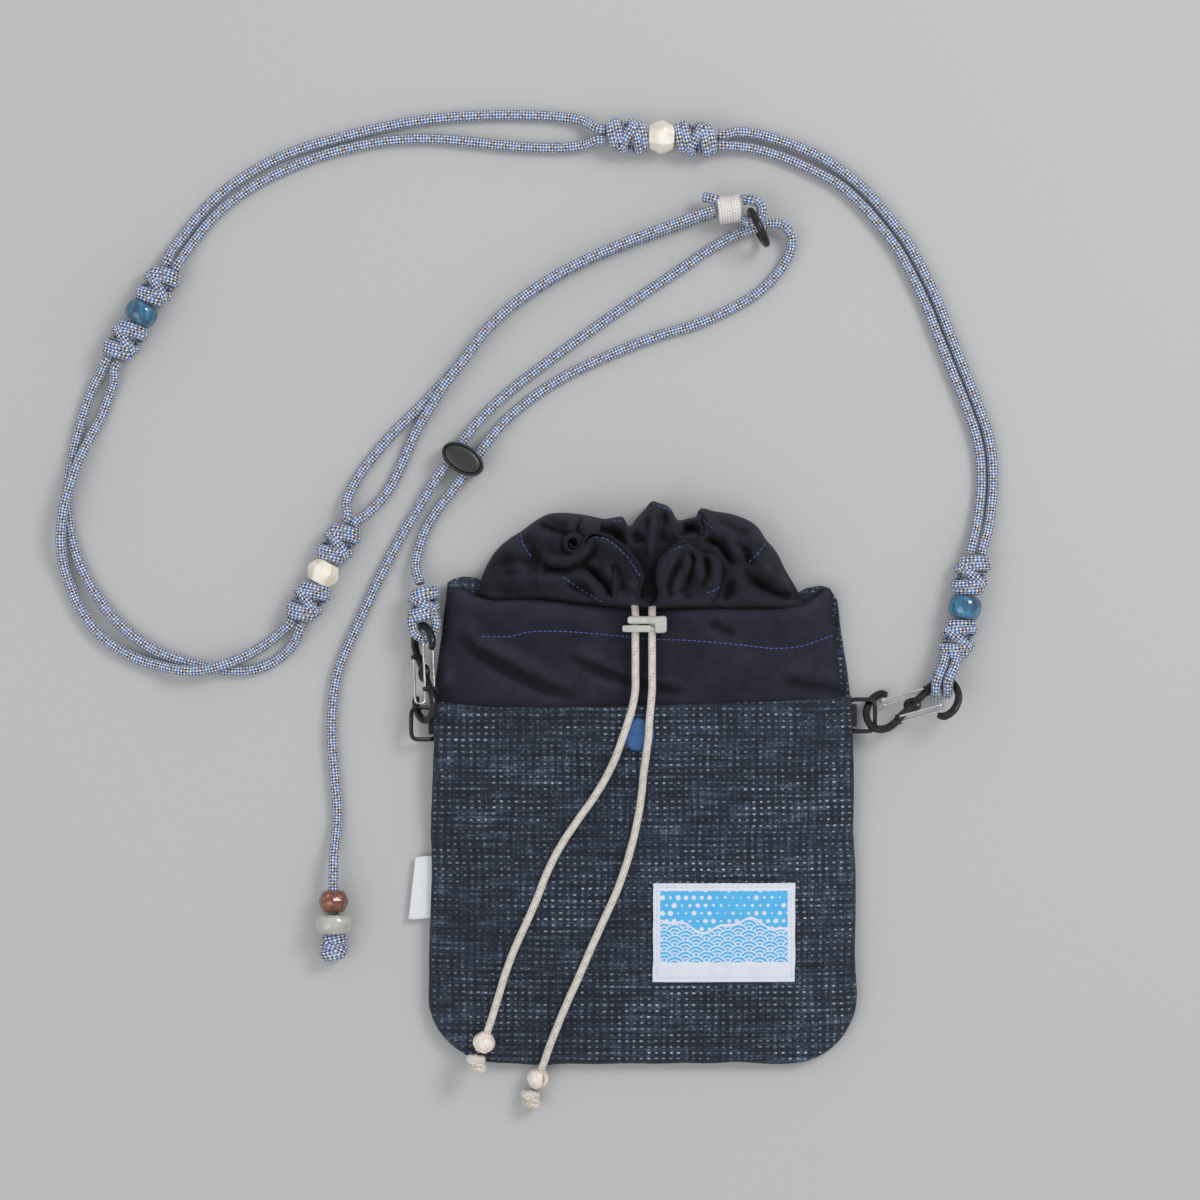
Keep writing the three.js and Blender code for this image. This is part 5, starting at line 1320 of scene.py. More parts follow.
def collar_height(x, y, s=None, t=None):
    column = np.clip((x + 1) / 65, -1, 1)
    arch = np.sqrt(np.clip(1 - column**2, 0, 1)) ** 0.7
    z = 7.5 + 11.5 * arch
    hem_away, _ = distance_to_line(x, y, hem_path[::3])
    z = z + 5.4 * np.exp(-((hem_away / 9) ** 2))
    throat = np.hypot(x - THROAT[0], y - THROAT[1])
    bearing = np.arctan2(y - THROAT[1], x - THROAT[0])
    gathers = np.sin(bearing * 11 + 0.5 * np.sin(bearing * 3)) * 0.8 + np.sin(bearing * 23 + 1) * 0.35
    z = z + gathers * np.exp(-throat / 22) * smooth_step(throat, 3, 8)
    lobe = signed_side(x, y, lobe_path[::3])
    z = z - 2.4 * np.exp(-((lobe / 5) ** 2)) * (1 - smooth_step(-lobe, -0.7, 0.7)) * smooth_step(x, 16, 20)
    for points, height, width in COLLAR_FOLDS:
        z = z + FOLD_DEPTH * fold(x, y, points, height, width * FOLD_SHARPNESS)
    mouth = inside(x, y, list(map(tuple, hem_path)) + MOUTH_BACK).astype(float)
    edge_away, _ = distance_to_line(x, y, hem_path[::2])
    floor_z = 19.9 + 2.0 * smooth_step(y, 112, 124) - 5.0 * smooth_step(-x, 5, 11) * smooth_step(y, 108,
        112)
    for points, height, width in COLLAR_FOLDS[14:18]:
        floor_z = floor_z + fold(x, y, points, height, width) * 0.9
    deep = inside(x, y, DEEP_MOUTH).astype(float)
    deep_away, _ = distance_to_line(x, y, DEEP_MOUTH + DEEP_MOUTH[:1])
    floor_z = floor_z - 7.0 * deep * smooth_step(deep_away, 0, 3.4)
    drop = mouth * smooth_step(edge_away, 0.0, 1.1)
    z = z * (1 - drop) + np.minimum(z, floor_z) * drop
    curl = np.hypot(x - SPIRAL_CENTRE[0], y - SPIRAL_CENTRE[1])
    z = z - 3.6 * (1 - smooth_step(curl, 1.4, 2.8)) - 1.6 * np.exp(-(((curl - 4.6) / 1.1) ** 2))
    z = z + 0.6 * wave_noise(x, y, 12, 31) + 0.2 * wave_noise(x, y, 4.2, 32)
    out_away, _ = distance_to_line(x, y, outline_path[::2])
    reach = 7.0 - 4.6 * mouth
    roll = np.clip(1 - out_away / reach, 0, 1)
    z = 3.5 + (z - 3.5) * np.sqrt(np.clip(1 - roll**2, 0, 1))
    strings = smooth_step(14.5 - np.abs(x), 0, 3) * smooth_step(y, 86.2,
        87.6) * (1 - smooth_step(y, 110.5, 113.5))
    z = np.maximum(z, 20.3 * strings)
    behind_rim = smooth_step(y, rim_height(x) - 1.0, rim_height(x) + 2.6)
    low = front_top(x, np.minimum(y, RIM_MIDDLE)) - 3.4
    return low * (1 - behind_rim) + z * behind_rim


COLLAR_LEFT, COLLAR_RIGHT = -67.5, 66.3


def collar_place(s, t):
    x = COLLAR_LEFT + s * (COLLAR_RIGHT - COLLAR_LEFT)
    top = np.interp(x, outline_path[:, 0], outline_path[:, 1])
    base = rim_height(x) - 4
    share = t * 0.82 + 0.18 * (1 - (1 - t) ** 3)
    return x, base + np.maximum(top - base, 0.3) * share


collar = cloth_grid("gathered_collar", collar_place, collar_height, 290, 96, 0.7)
dressed(collar, "pouch", "navy_cotton", navy_cotton_painted_shade, "inner_bag")
print("collar has", len(collar.data.polygons), "faces")

# %% [markdown]
# The hem itself stands up as a thin double edge. It is a narrow ribbon on its edge that follows
# the hem line: first the little scroll on the left, then along the front, down into the throat
# and up again. Its top is rounded, as a folded hem is.

# %% Standing hem
def scroll_points(turns=1.6, inner=1.3, outer=3.6, count=34):
    points = []
    for share in np.linspace(0, 1, count):
        angle = math.radians(25) - 2 * math.pi * turns * (1 - share)
        radius = inner + (outer - inner) * share
        points.append((SPIRAL_CENTRE[0] + math.cos(angle) * radius,
            SPIRAL_CENTRE[1] + math.sin(angle) * radius))
    return points


def ribbon(name, path, tops, depth, thickness):
    """A strip standing on edge along a flat path, with a rounded top."""
    ahead = np.gradient(path, axis=0)
    ahead /= np.linalg.norm(ahead, axis=1)[:, None]
    side = np.column_stack([-ahead[:, 1], ahead[:, 0]])
    half = thickness / 2
    section = [(-half, -depth), (-half, -half)]
    section += [(-math.cos(a) * half, -half + math.sin(a) * half) for a in np.linspace(0.4, math.pi - 0.4,
        5)]
    section += [(half, -half), (half, -depth)]
    count = len(section)
    vertices = []
    for (x, y), (nx, ny), top in zip(path, side, tops):
        for out_by, up_by in section:
            vertices.append(((x + nx * out_by) * MM, (y + ny * out_by) * MM, (top + up_by) * MM))
    faces = []
    for i in range(len(path) - 1):
        for j in range(count):
            k = (j + 1) % count
            faces.append((i * count + k, i * count + j, (i + 1) * count + j, (i + 1) * count + k))
    faces.append(tuple(range(count)))
    faces.append(tuple(reversed(range((len(path) - 1) * count, len(path) * count))))
    return new_object(name, vertices, faces)


scroll = np.array(scroll_points())
hem_run = smooth_path(list(map(tuple, scroll[:-1:2])) + HEM_LINE[1:] + photo((694, 540), (702, 536),
    (704.5, 529), (701, 519)), 0.35)
run_x, run_y = hem_run[:, 0], hem_run[:, 1]
near_tops = [collar_height(run_x + dx, run_y + dy) for dx, dy in ((0.9, 0), (-0.9, 0), (0, 0.9), (0, -0.9))]
tops = np.max(near_tops, axis=0) + 1.3
tops = np.convolve(np.pad(tops, 8, mode="edge"), np.ones(17) / 17, mode="valid")
tops = np.clip(tops, 0, 25.6)
hem = ribbon("collar_hem", hem_run, tops, 2.8, 0.75)
dressed(hem, "pouch", "navy_cotton", navy_cotton_painted_shade, "inner_bag")
print("hem ribbon:", len(hem_run), "steps")

# %% [markdown]
# Stitches are real little strands of thread, lying on the cloth. Their height is found by
# casting a ray straight down onto the finished sheet.

# %% Stitches
def surface_of(piece):
    vertices = [v.co.copy() for v in piece.data.vertices]
    return BVHTree.FromPolygons(vertices, [tuple(p.vertices) for p in piece.data.polygons])


def drop_to(tree, x, y):
    hit, normal, _, _ = tree.ray_cast(Vector((x, y, 0.1)), Vector((0, 0, -1)))
    return hit, normal


def stitches(name, piece, rows, length, pitch, radius, material, slot):
    """Rows of short thread ends along lines on a piece. Lengths are in millimetres."""
    tree = surface_of(piece)
    parts = []
    for row in rows:
        path = smooth_path(row, 0.2)
        run = np.concatenate([[0], np.cumsum(np.linalg.norm(np.diff(path, axis=0), axis=1))])
        for start in np.arange(0.3, run[-1] - length, pitch):
            line = []
            for share in np.linspace(0, 1, 5):
                at = start + share * length
                x, y = np.interp(at, run, path[:, 0]) * MM, np.interp(at, run, path[:, 1]) * MM
                hit, _ = drop_to(tree, x, y)
                if hit is None:
                    break
                bow = math.sin(share * math.pi) * radius * 0.75 - radius * 0.45
                line.append((x, y, hit.z + bow * MM))
            if len(line) == 5:
                parts.append(tube_parts(np.array(line), radius * MM, 6))
    return dressed(joined(name, parts), "pouch", slot, material)


COLLAR_STITCHES = [
    photo((521, 534), (524, 545), (534, 560)), photo((612, 522), (623, 522)),
    photo((595, 538), (606, 540), (617, 548), (628, 559), (635, 570), (640, 577)),
    photo((563, 577), (579, 588), (592, 596), (606, 604)), photo((657, 506), (673, 513)),
    photo((699, 514), (703, 521), (712, 530)), photo((667, 554), (675, 549), (684, 546)),
    photo((747, 563), (757, 553), (766, 542)), photo((705, 593), (712, 591), (719, 587)),
]
stitches("collar_stitches", collar, COLLAR_STITCHES, 1.35, 2.1, 0.17, thread_blue, "navy_cotton")
RIM_STITCHES = [photo(
    (482, 636), (512, 636), (528, 632), (559, 631), (623, 636), (655, 639), (687, 640), (735, 644),
    (773, 648), (799, 646), (824, 638), (840, 632))]
stitches("rim_stitches", front, RIM_STITCHES, 1.35, 2.05, 0.17, thread_blue, "navy_cotton")
print("stitches are on")

# %% [markdown]
# Hard pieces are next. Most are turned or pressed parts, and they are made as one would by hand:
# a primitive is added, shaped in edit mode, and finished with a modifier. A turned part starts
# as a ring of points, which is pushed along its profile step by step until it closes on itself.

# %% Turning a profile
def turned_piece(name, profile, sides, bevel=0.0):
    """Pushes a ring of points along a profile of (along, radius), in millimetres."""
    start_fresh()
    along, radius = profile[0]
    bpy.ops.mesh.primitive_circle_add(vertices=sides, radius=radius * MM, location=(0, 0, along * MM))
    piece = bpy.context.object
    piece.name = name
    bpy.ops.object.mode_set(mode="EDIT")
    bpy.ops.mesh.select_mode(type="VERT")
    bpy.ops.mesh.select_all(action="SELECT")
    for (a0, r0), (a1, r1) in zip(profile, profile[1:] + profile[:1]):
        bpy.ops.mesh.extrude_region_move(TRANSFORM_OT_translate={"value": (0, 0, (a1 - a0) * MM)})
        share = r1 / r0
        bpy.ops.transform.resize(value=(share, share, 1), center_override=(0, 0, a1 * MM))
    bpy.ops.mesh.select_all(action="SELECT")
    bpy.ops.mesh.remove_doubles(threshold=0.000004)
    bpy.ops.mesh.normals_make_consistent(inside=False)
    bpy.ops.object.mode_set(mode="OBJECT")
    bpy.ops.object.transform_apply(location=True, rotation=True, scale=True)
    if bevel:
        finish_modifier(piece, "BEVEL", width=bevel * MM, segments=3, limit_method="ANGLE", angle_limit=0.3)
    return piece


def laid_along(centre, direction):
    """Turns local Z to a direction and moves the origin to a centre in millimetres."""
    turn = Vector((0, 0, 1)).rotation_difference(Vector(direction)).to_matrix().to_4x4()
    return Matrix.Translation(Vector(centre) * MM) @ turn


def own_copy(name, source):
    """An object with a mesh of its own, copied from another."""
    piece = bpy.data.objects.new(name, source.data.copy())
    piece.data.name = name
    bpy.context.scene.collection.objects.link(piece)
    return piece


def copy_at(name, model, matrix, smooth_angle=40):
    """A copy that carries its place in its mesh."""
    piece = own_copy(name, model)
    piece.data.transform(matrix)
    smooth_by_angle(piece, smooth_angle)
    return piece


def put_away(model):
    bpy.data.objects.remove(model, do_unlink=True)


print("turning helpers are ready")

# %% [markdown]
# A bead fills the room between its two knots, and that room gives its length. The ivory bead
# is a hexagonal bicone of polished bone. The blue one is a barrel of streaky glass. One of
# each is modelled, and its copies are only stretched to the room that they have.

# %% Bead materials
BORE = 2.35


def rim_dark(nodes, inner, outer, power=0.55):
    """Glass looks deeper in colour where one looks along its wall."""
    facing = nodes.add("ShaderNodeLayerWeight", {"Blend": power}).outputs["Facing"]
    return nodes.blend(nodes.stretch(facing, 0.25, 0.95), inner, outer)


bone, nodes, shader, places = new_material(
    "polished_bone", roughness=0.24, Coat_Weight=0.55, Coat_Roughness=0.12, Subsurface_Weight=0.12)
shader["Subsurface Scale"].default_value = 0.002
veins = nodes.noise(nodes.scaled(places["Object"], (260, 260, 120)), 1.0, 4, 0.62)
cloud = nodes.noise(places["Object"], 190, 2)
shell = nodes.blend(nodes.stretch(veins, 0.34, 0.66), linear(224, 212, 190), linear(253, 248, 238))
nodes.put(shader["Base Color"], nodes.blend(nodes.stretch(cloud, 0.5, 0.75), shell, linear(240, 226, 198)))
relief(nodes, shader, veins, 0.00005)

blue_glass, nodes, shader, places = new_material(
    "blue_streaked_glass", roughness=0.06, Coat_Weight=1.0, Coat_Roughness=0.03, Specular_IOR_Level=0.7)
streak = nodes.stretch(nodes.noise(nodes.scaled(places["Object"], (300, 140, 300)), 1.0, 4, 0.65), 0.3, 0.7)
body_tone = nodes.stops(streak, [linear(1, 38, 62), linear(3, 76, 110), linear(12, 112, 150),
    linear(84, 172, 196)], False)
nodes.put(shader["Base Color"], rim_dark(nodes, body_tone, linear(2, 36, 66)))

brown_glass, nodes, shader, places = new_material(
    "brown_agate", roughness=0.1, Coat_Weight=0.8, Coat_Roughness=0.04, Specular_IOR_Level=0.6)
cracks = nodes.stretch(nodes.noise(places["Object"], 420, 5, 0.7), 0.3, 0.7)
agate = nodes.stops(cracks, [linear(34, 12, 6), linear(96, 42, 20), linear(138, 70, 36),
    linear(204, 132, 88)], False)
nodes.put(shader["Base Color"], rim_dark(nodes, agate, linear(52, 20, 12)))

milky_glass, nodes, shader, places = new_material(
    "milky_glass", roughness=0.14, Coat_Weight=0.7, Coat_Roughness=0.05, Transmission_Weight=0.32, IOR=1.45)
milk = nodes.noise(nodes.scaled(places["Object"], (180, 420, 180)), 1.0, 3, 0.6)
core_tone = nodes.blend(nodes.stretch(milk, 0.3, 0.7), linear(186, 186, 176), linear(226, 226, 216))
nodes.put(shader["Base Color"], rim_dark(nodes, core_tone, linear(212, 212, 204)))

pale_wood, nodes, shader, places = new_material(
    "white_washed_wood", roughness=0.42, Coat_Weight=0.2, Coat_Roughness=0.3)
grain = nodes.noise(nodes.scaled(places["Object"], (1500, 260, 900)), 1.0, 3, 0.6)
check = nodes.noise(nodes.scaled(places["Object"], (700, 90, 300)), 1.0, 3, 0.7)
wash = nodes.blend(nodes.stretch(grain, 0.35, 0.65), linear(224, 208, 194), linear(246, 238, 230))
nodes.put(shader["Base Color"], nodes.blend(nodes.stretch(check, 0.6, 0.68), wash, linear(190, 138, 100)))
relief(nodes, shader, grain, 0.00006)
print("bead materials are mixed")

# %% Bead shapes
def bead_profile(length, width, shape, bore=BORE):
    half = length / 2
    outer = [(along * half, bore + (width / 2 - bore) * share) for along, share in shape]
    return [(-half, bore + 0.5), *outer, (half, bore + 0.5), (half * 0.5, bore), (-half * 0.5, bore)]


def bead_centre(node):
    low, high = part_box(node)
    return (Vector(low) + Vector(high)) / 2 / MM


BICONE = [(-1, 0.42), (-0.93, 0.55), (-0.2, 0.97), (0, 1), (0.2, 0.97), (0.93, 0.55), (1, 0.42)]
BARREL = [(-1, 0.5), (-0.93, 0.68), (-0.78, 0.84), (-0.5, 0.95), (-0.2, 0.99), (0, 1),
          (0.2, 0.99), (0.5, 0.95), (0.78, 0.84), (0.93, 0.68), (1, 0.5)]
CUT_STONE = [(-1, 0.45), (-0.88, 0.6), (-0.14, 1), (0.14, 1), (0.88, 0.6), (1, 0.45)]
STATION_BEAD_WIDTH, MODEL_LENGTH = 13.4, 9.0
SHAPES = {"ivory": (BICONE, 6, 0.9, bone, "bone"), "blue": (BARREL, 48, 0.0, blue_glass, "blue_glass")}
BEAD_BODY = {"ivory_bead_left": "ivory_left", "blue_bead_left": "blue_left",
             "ivory_bead_top": "ivory_top", "blue_bead_right": "blue_right"}
models = {}
for node, (lower, upper) in STATIONS.items():
    kind = node.split("_")[0]
    shape, sides, bevel, material, slot = SHAPES[kind]
    ahead = (upper[0] - lower[0], upper[1] - lower[1], 0)
    if kind not in models:
        profile = bead_profile(MODEL_LENGTH, STATION_BEAD_WIDTH, shape)
        models[kind] = turned_piece(kind + "_model", profile, sides, bevel)
    room = Vector(ahead).length - KNOT_SIZE[0] - 0.4
    stretch = Matrix.Diagonal((1, 1, room / MODEL_LENGTH, 1))
    piece = copy_at(node + "_polished", models[kind], laid_along(bead_centre(node), ahead) @ stretch)
    dressed(piece, BEAD_BODY[node], slot, material, node)
for model in models.values():
    put_away(model)
print("bead kinds:", list(SHAPES))

# %% Tail beads and drawstring beads
TAIL_AXIS = (0, 1, 0)
for node, body, shape, sides, bevel, width, material, slot in (
    ("brown_bead", "brown", CUT_STONE, 8, 0.35, 12.0, brown_glass, "brown_glass"),
    ("clear_bead", "clear", BARREL, 48, 0.0, 14.4, milky_glass, "grey_glass"),
):
    low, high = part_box(node)
    length = (high[1] - low[1]) / MM
    model = turned_piece(node + "_model", bead_profile(length, width, shape), sides, bevel)
    piece = copy_at(node + "_polished", model, laid_along(bead_centre(node), TAIL_AXIS), 25)
    dressed(piece, body, slot, material, node)
    put_away(model)

ROUND = [(math.sin(angle), math.cos(angle)) for angle in np.linspace(-1.25, 1.25, 15)]
STRING_BORE = 1.95
for node, body, centre, axis, width in (
    ("left_drawstring_bead", "left_string_bead", (-63.0, -87.0, 14.4), (-0.33, -0.94, 0), 9.0),
    ("right_drawstring_bead", "right_string_bead", (-41.8, -102.2, 5.1), (-0.32, -0.86, -0.4), 8.8),
):
    half = width * 0.43
    outer = [(along * half / math.sin(1.25), share * width / 2) for along, share in ROUND]
    mouth = STRING_BORE + 0.5
    profile = [(-half, mouth), *outer, (half, mouth), (half * 0.4, STRING_BORE), (-half * 0.4, STRING_BORE)]
    model = turned_piece(node + "_model", profile, 36)
    piece = copy_at(node + "_turned", model, laid_along(centre, axis))
    dressed(piece, body, "pale_wood", pale_wood, node)
    put_away(model)
print("small beads are on")

# %% [markdown]
# Metal and plastic follow. The hooks and rings are black-coated, with worn, slightly brighter
# patches; their wire gates are bare steel. The coating's tiny orange peel is only bump.

# %% Metal and plastic materials
black_metal, nodes, shader, places = new_material("black_coated_metal", roughness=0.34, metallic=0.35,
    Coat_Weight=0.25)
peel = nodes.noise(places["Object"], 1500, 3)
rub = nodes.noise(places["Object"], 260, 4, 0.65)
paint(nodes, shader, nodes.stretch(rub, 0.52, 0.74), (15, 15, 16), (44, 45, 46))
nodes.put(shader["Roughness"], nodes.stretch(rub, 0.3, 0.7, 0.26, 0.44))
relief(nodes, shader, peel, 0.00004)

steel_wire, nodes, shader, places = new_material("bright_steel_wire", roughness=0.2, metallic=1.0)
drawn = nodes.noise(places["Object"], 900, 3)
paint(nodes, shader, drawn, (196, 196, 198), (236, 236, 236))
nodes.put(shader["Roughness"], nodes.stretch(drawn, 0.3, 0.7, 0.14, 0.3))

black_plastic, nodes, shader, places = new_material("satin_black_plastic", roughness=0.46)
spark = nodes.noise(places["Object"], 2200, 3, 0.6)
haze = nodes.noise(places["Object"], 150, 2)
paint(nodes, shader, haze, (24, 25, 25), (36, 37, 36))
nodes.put(shader["Roughness"], nodes.stretch(spark, 0.3, 0.7, 0.38, 0.54))
relief(nodes, shader, spark, 0.00006)

plate_plastic, nodes, shader, places = new_material("plate_plastic", roughness=0.36)
spark = nodes.noise(places["Object"], 2600, 3, 0.6)
paint(nodes, shader, spark, (36, 37, 37), (48, 49, 48))
relief(nodes, shader, spark, 0.00004)

black_web, nodes, shader, places = new_material("black_webbing", roughness=0.85, Sheen_Weight=0.1)
ribs = use_group(nodes, "plain_weave", Place=places["Object"], Thread=0.0007)["Height"]
# Painted shade between the threads and painted highlight on their crowns, from the weave's height.
paint(nodes, shader, ribs, (16, 16, 18), (46, 46, 50))
relief(nodes, shader, ribs, 0.0002)

grey_plastic, nodes, shader, places = new_material(
    "warm_grey_plastic", roughness=0.4, Subsurface_Weight=0.1, Coat_Weight=0.1)
shader["Subsurface Scale"].default_value = 0.0015
tone = nodes.noise(places["Object"], 210, 3)
grit = nodes.noise(places["Object"], 2400, 2)
paint(nodes, shader, nodes.stretch(tone, 0.3, 0.7), (180, 178, 170), (204, 202, 195))
relief(nodes, shader, grit, 0.00004)

blue_enamel, nodes, shader, places = new_material("blue_enamel", roughness=0.42, Coat_Weight=0.15,
    Coat_Roughness=0.3)
fleck = nodes.noise(places["Object"], 520, 3)
grit = nodes.noise(places["Object"], 1900, 2)
paint(nodes, shader, nodes.stretch(fleck, 0.3, 0.7), (34, 84, 134), (44, 100, 152))
relief(nodes, shader, grit, 0.00005)

waxed_thread, nodes, shader, places = new_material("waxed_thread", roughness=0.5, Sheen_Weight=0.08)
u, v, _ = nodes.parts(places["UV"])
twist = nodes.plus(nodes.times(u, 2.0), nodes.over(v, 0.0011))
strand = nodes.math("ABSOLUTE", nodes.math("SINE", nodes.times(twist, math.pi)))
# Painted shade in the grooves between the twisted strands, paler on their crowns.
paint(nodes, shader, strand, (212, 202, 198), (240, 234, 230))
relief(nodes, shader, strand, 0.00006)
for node in ("snap_socket", "snap_stud", "snap_back_post", "lock_spring"):
    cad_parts[node].data.materials.clear()
    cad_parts[node].data.materials.append(steel_wire)
print("hardware materials are mixed")

# %% [markdown]
# A hook is one S-shaped bar with a wire gate at each end. Its bar is swept with a rounded
# rectangular section along the same line as in the frame. The small boss in its middle carries
# an oval eye, and a rivet head sits on each gate's pivot.

# %% Hooks, gates and rivets
HALF_LINE = [(4.8, 4.0), (7.75, 6.7), (10.8, 8.4), (13.9, 8.5), (16.8, 6.9), (18.4, 3.7),
             (18.7, 0), (17.4, -3.7), (15, -6.4), (12, -7.6), (9.6, -6.7)]
HOOK_LINE = [(-x, -y, 0) for x, y in reversed(HALF_LINE)] + [(0, 0, 0)] + [(x, y, 0) for x, y in HALF_LINE]
BAR_WIDTH, BAR_THICKNESS = 2.9, 2.6
GATE_WIRE, GATE_Z = 0.9, 2.05
PIVOT, TIP = (6.2, 5.4), (-12.2, 3.4)
GATE_POINTS = [
    (*PIVOT, GATE_Z), ((PIVOT[0] + TIP[0]) / 2, (PIVOT[1] + TIP[1]) / 2, GATE_Z),
    (TIP[0] + 1.4, TIP[1] + 0.15, GATE_Z),
    (TIP[0] + 0.3, TIP[1], GATE_Z - 0.5), (*TIP, 0), (TIP[0] + 0.3, TIP[1], 0.5 - GATE_Z),
    (TIP[0] + 1.4, TIP[1] + 0.15, -GATE_Z), ((PIVOT[0] + TIP[0]) / 2, (PIVOT[1] + TIP[1]) / 2, -GATE_Z),
    (*PIVOT, -GATE_Z),
]
HOOK_POSES = {
    "right_hook": ((107.3, 46.6, 8.6), 10.2, -9.5, -33, ("right_hook_inner_gate", "right_hook_outer_gate")),
    "left_hook": ((-87.0, 59.4, 9.5), 90, 0, -62, ("left_hook_lower_gate", "left_hook_upper_gate")),
}
GATE_BODY = {"right_hook_inner_gate": "right_inner_gate", "right_hook_outer_gate": "right_outer_gate",
             "left_hook_lower_gate": "left_lower_gate", "left_hook_upper_gate": "left_upper_gate"}


def hook_matrix(at, yaw, pitch, roll):
    turns = [Matrix.Rotation(math.radians(angle), 4, axis) for angle,
        axis in ((yaw, "Z"), (pitch, "Y"), (roll, "X"))]
    return Matrix.Translation(Vector(at) * MM) @ turns[0] @ turns[1] @ turns[2]


def moved_parts(parts, matrix):
    vertices, faces, maps = parts
    return [matrix @ Vector(p) for p in vertices], faces, maps


bar_line = smooth_line(np.array(HOOK_LINE) * MM, 0.45 * MM)
bar_ends = np.linspace(0, 1, len(bar_line))
taper = 1 - 0.22 * (1 - smooth_step(np.minimum(bar_ends, 1 - bar_ends), 0, 0.03))
bar_parts = tube_parts(bar_line, taper * BAR_WIDTH / 2 * MM, 20, BAR_THICKNESS / BAR_WIDTH, 0.62)
boss = turned_piece("boss_model", [(-1.9, 0.9), (-1.9, 1.7), (-1.5, 2.9), (-1.1, 3.5), (1.1, 3.5),
    (1.5, 2.9), (1.9, 1.7), (1.9, 0.9)], 40, 0.15)
boss.data.transform(Matrix.Diagonal((1.0, 0.82, 1.0, 1.0)))
rivet = turned_piece("rivet_model", [(-2.95, 0.02), (-2.95, 0.6), (-2.6, 0.95), (2.6, 0.95), (2.95, 0.6),
    (2.95, 0.02)], 20)
gate_line = smooth_line(np.array(GATE_POINTS) * MM, 0.5 * MM)
gate_parts = tube_parts(gate_line, GATE_WIRE / 2 * MM, 12)
half_turn = Matrix.Rotation(math.pi, 4, "Z")
for hook, (at, yaw, pitch, roll, gates) in HOOK_POSES.items():
    matrix = hook_matrix(at, yaw, pitch, roll)
    bar = joined(hook + "_bar", [moved_parts(bar_parts, matrix)])
    dressed(bar, hook, "black_metal", black_metal, hook + "_frame")
    dressed(copy_at(hook + "_boss", boss, matrix), hook, "black_metal", black_metal)
    for gate, turn in zip(gates, (Matrix(), half_turn)):
        wire = joined(gate + "_wire", [moved_parts(gate_parts, matrix @ turn)])
        dressed(wire, GATE_BODY[gate], "steel_wire", steel_wire, gate)
        head = Matrix.Translation(Vector((*PIVOT, 0)) * MM)
        dressed(copy_at(gate + "_rivet", rivet, matrix @ turn @ head), hook, "black_metal", black_metal)
put_away(boss)
put_away(rivet)
print("hooks:", list(HOOK_POSES))

# %% [markdown]
# The flat rings are bent wire, a little square at the corners. The round ring at the strap's
# top is a plain steel ring, so it is a torus, turned to the yaw it has in the frame.

# %% Rings and their tabs
RING_LENGTH, RING_HEIGHT, RING_WIRE = 12.6, 14.4, 1.7
SEAM_X, SEAM_Z = 82.0, 3.85
ring_line = []
for angle in np.linspace(0, 2 * math.pi, 96, endpoint=False):
    x = squared(math.cos(angle), 0.4) * (RING_LENGTH - RING_WIRE) / 2
    y = squared(math.sin(angle), 0.4) * (RING_HEIGHT - RING_WIRE) / 2
    ring_line.append((x + (RING_LENGTH - RING_WIRE) / 2, y, 0))
ring_line = np.array(ring_line + ring_line[:1]) * MM
ring_line = resampled(ring_line, 0.5 * MM)[:-1]
ring_parts = tube_parts(ring_line, RING_WIRE / 2 * MM, 16, closed=True)


def softened(name, node, bevel, angle=35):
    """A merged copy of a frame node with its sharp edges bevelled."""
    piece = own_copy(name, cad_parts[node])
    pick(piece)
    bpy.ops.object.mode_set(mode="EDIT")
    bpy.ops.mesh.select_all(action="SELECT")
    bpy.ops.mesh.remove_doubles(threshold=0.00002)
    bpy.ops.mesh.dissolve_limited(angle_limit=math.radians(1))
    bpy.ops.object.mode_set(mode="OBJECT")
    finish_modifier(piece, "BEVEL", width=bevel * MM, segments=3, limit_method="ANGLE",
        angle_limit=math.radians(angle))
    smooth_by_angle(piece, 50)
    return piece


for side, facing, y, tilt in (("right", 0.0, 42.4, 14.5), ("left", math.pi, 39.2, 21.0)):
    seam = turned_flat((math.cos(facing) * SEAM_X, y, SEAM_Z), facing)
    swing = seam @ Matrix.Rotation(-math.radians(tilt), 4, "Y")
    ring = joined(side + "_ring_wire", [moved_parts(ring_parts, swing)])
    dressed(ring, side + "_ring_body", "black_metal", black_metal, side + "_ring")
    tab = softened(side + "_ring_tab_web", side + "_ring_tab", 0.45)
    dressed(tab, "pouch", "black_web", black_web, side + "_ring_tab")

start_fresh()
bpy.ops.mesh.primitive_torus_add(
    major_radius=7.2 * MM, minor_radius=1.5 * MM, major_segments=72, minor_segments=20,
    location=Vector((46, 236.6, 8.75)) * MM, rotation=(0, math.pi / 2, math.radians(26)))
strap_ring = bpy.context.object
strap_ring.name = "strap_ring_steel"
bpy.ops.object.transform_apply(location=True, rotation=True, scale=True)
bpy.ops.object.shade_smooth()
dressed(strap_ring, "loop_ring_body", "black_metal", black_metal, "loop_ring")

# %% [markdown]
# The cord lock, its button and the snap cap are moulded or pressed. The lock is a cube, pushed
# out to the right and then down, and its button a cube with a narrower tongue. Broad bevels
# round both off. The cap is turned, with a rolled rim.

# %% Cord lock and snap cap
LOCK_Z, LOCK_HALF = 18.1, 3.7


def block(name, low, high):
    """A cube that is stretched between two corners, in millimetres."""
    start_fresh()
    middle = (Vector(low) + Vector(high)) / 2 * MM
    bpy.ops.mesh.primitive_cube_add(size=1, location=middle, scale=(Vector(high) - Vector(low)) * MM)
    piece = bpy.context.object
    piece.name = name
    bpy.ops.object.transform_apply(location=True, rotation=True, scale=True)
    return piece


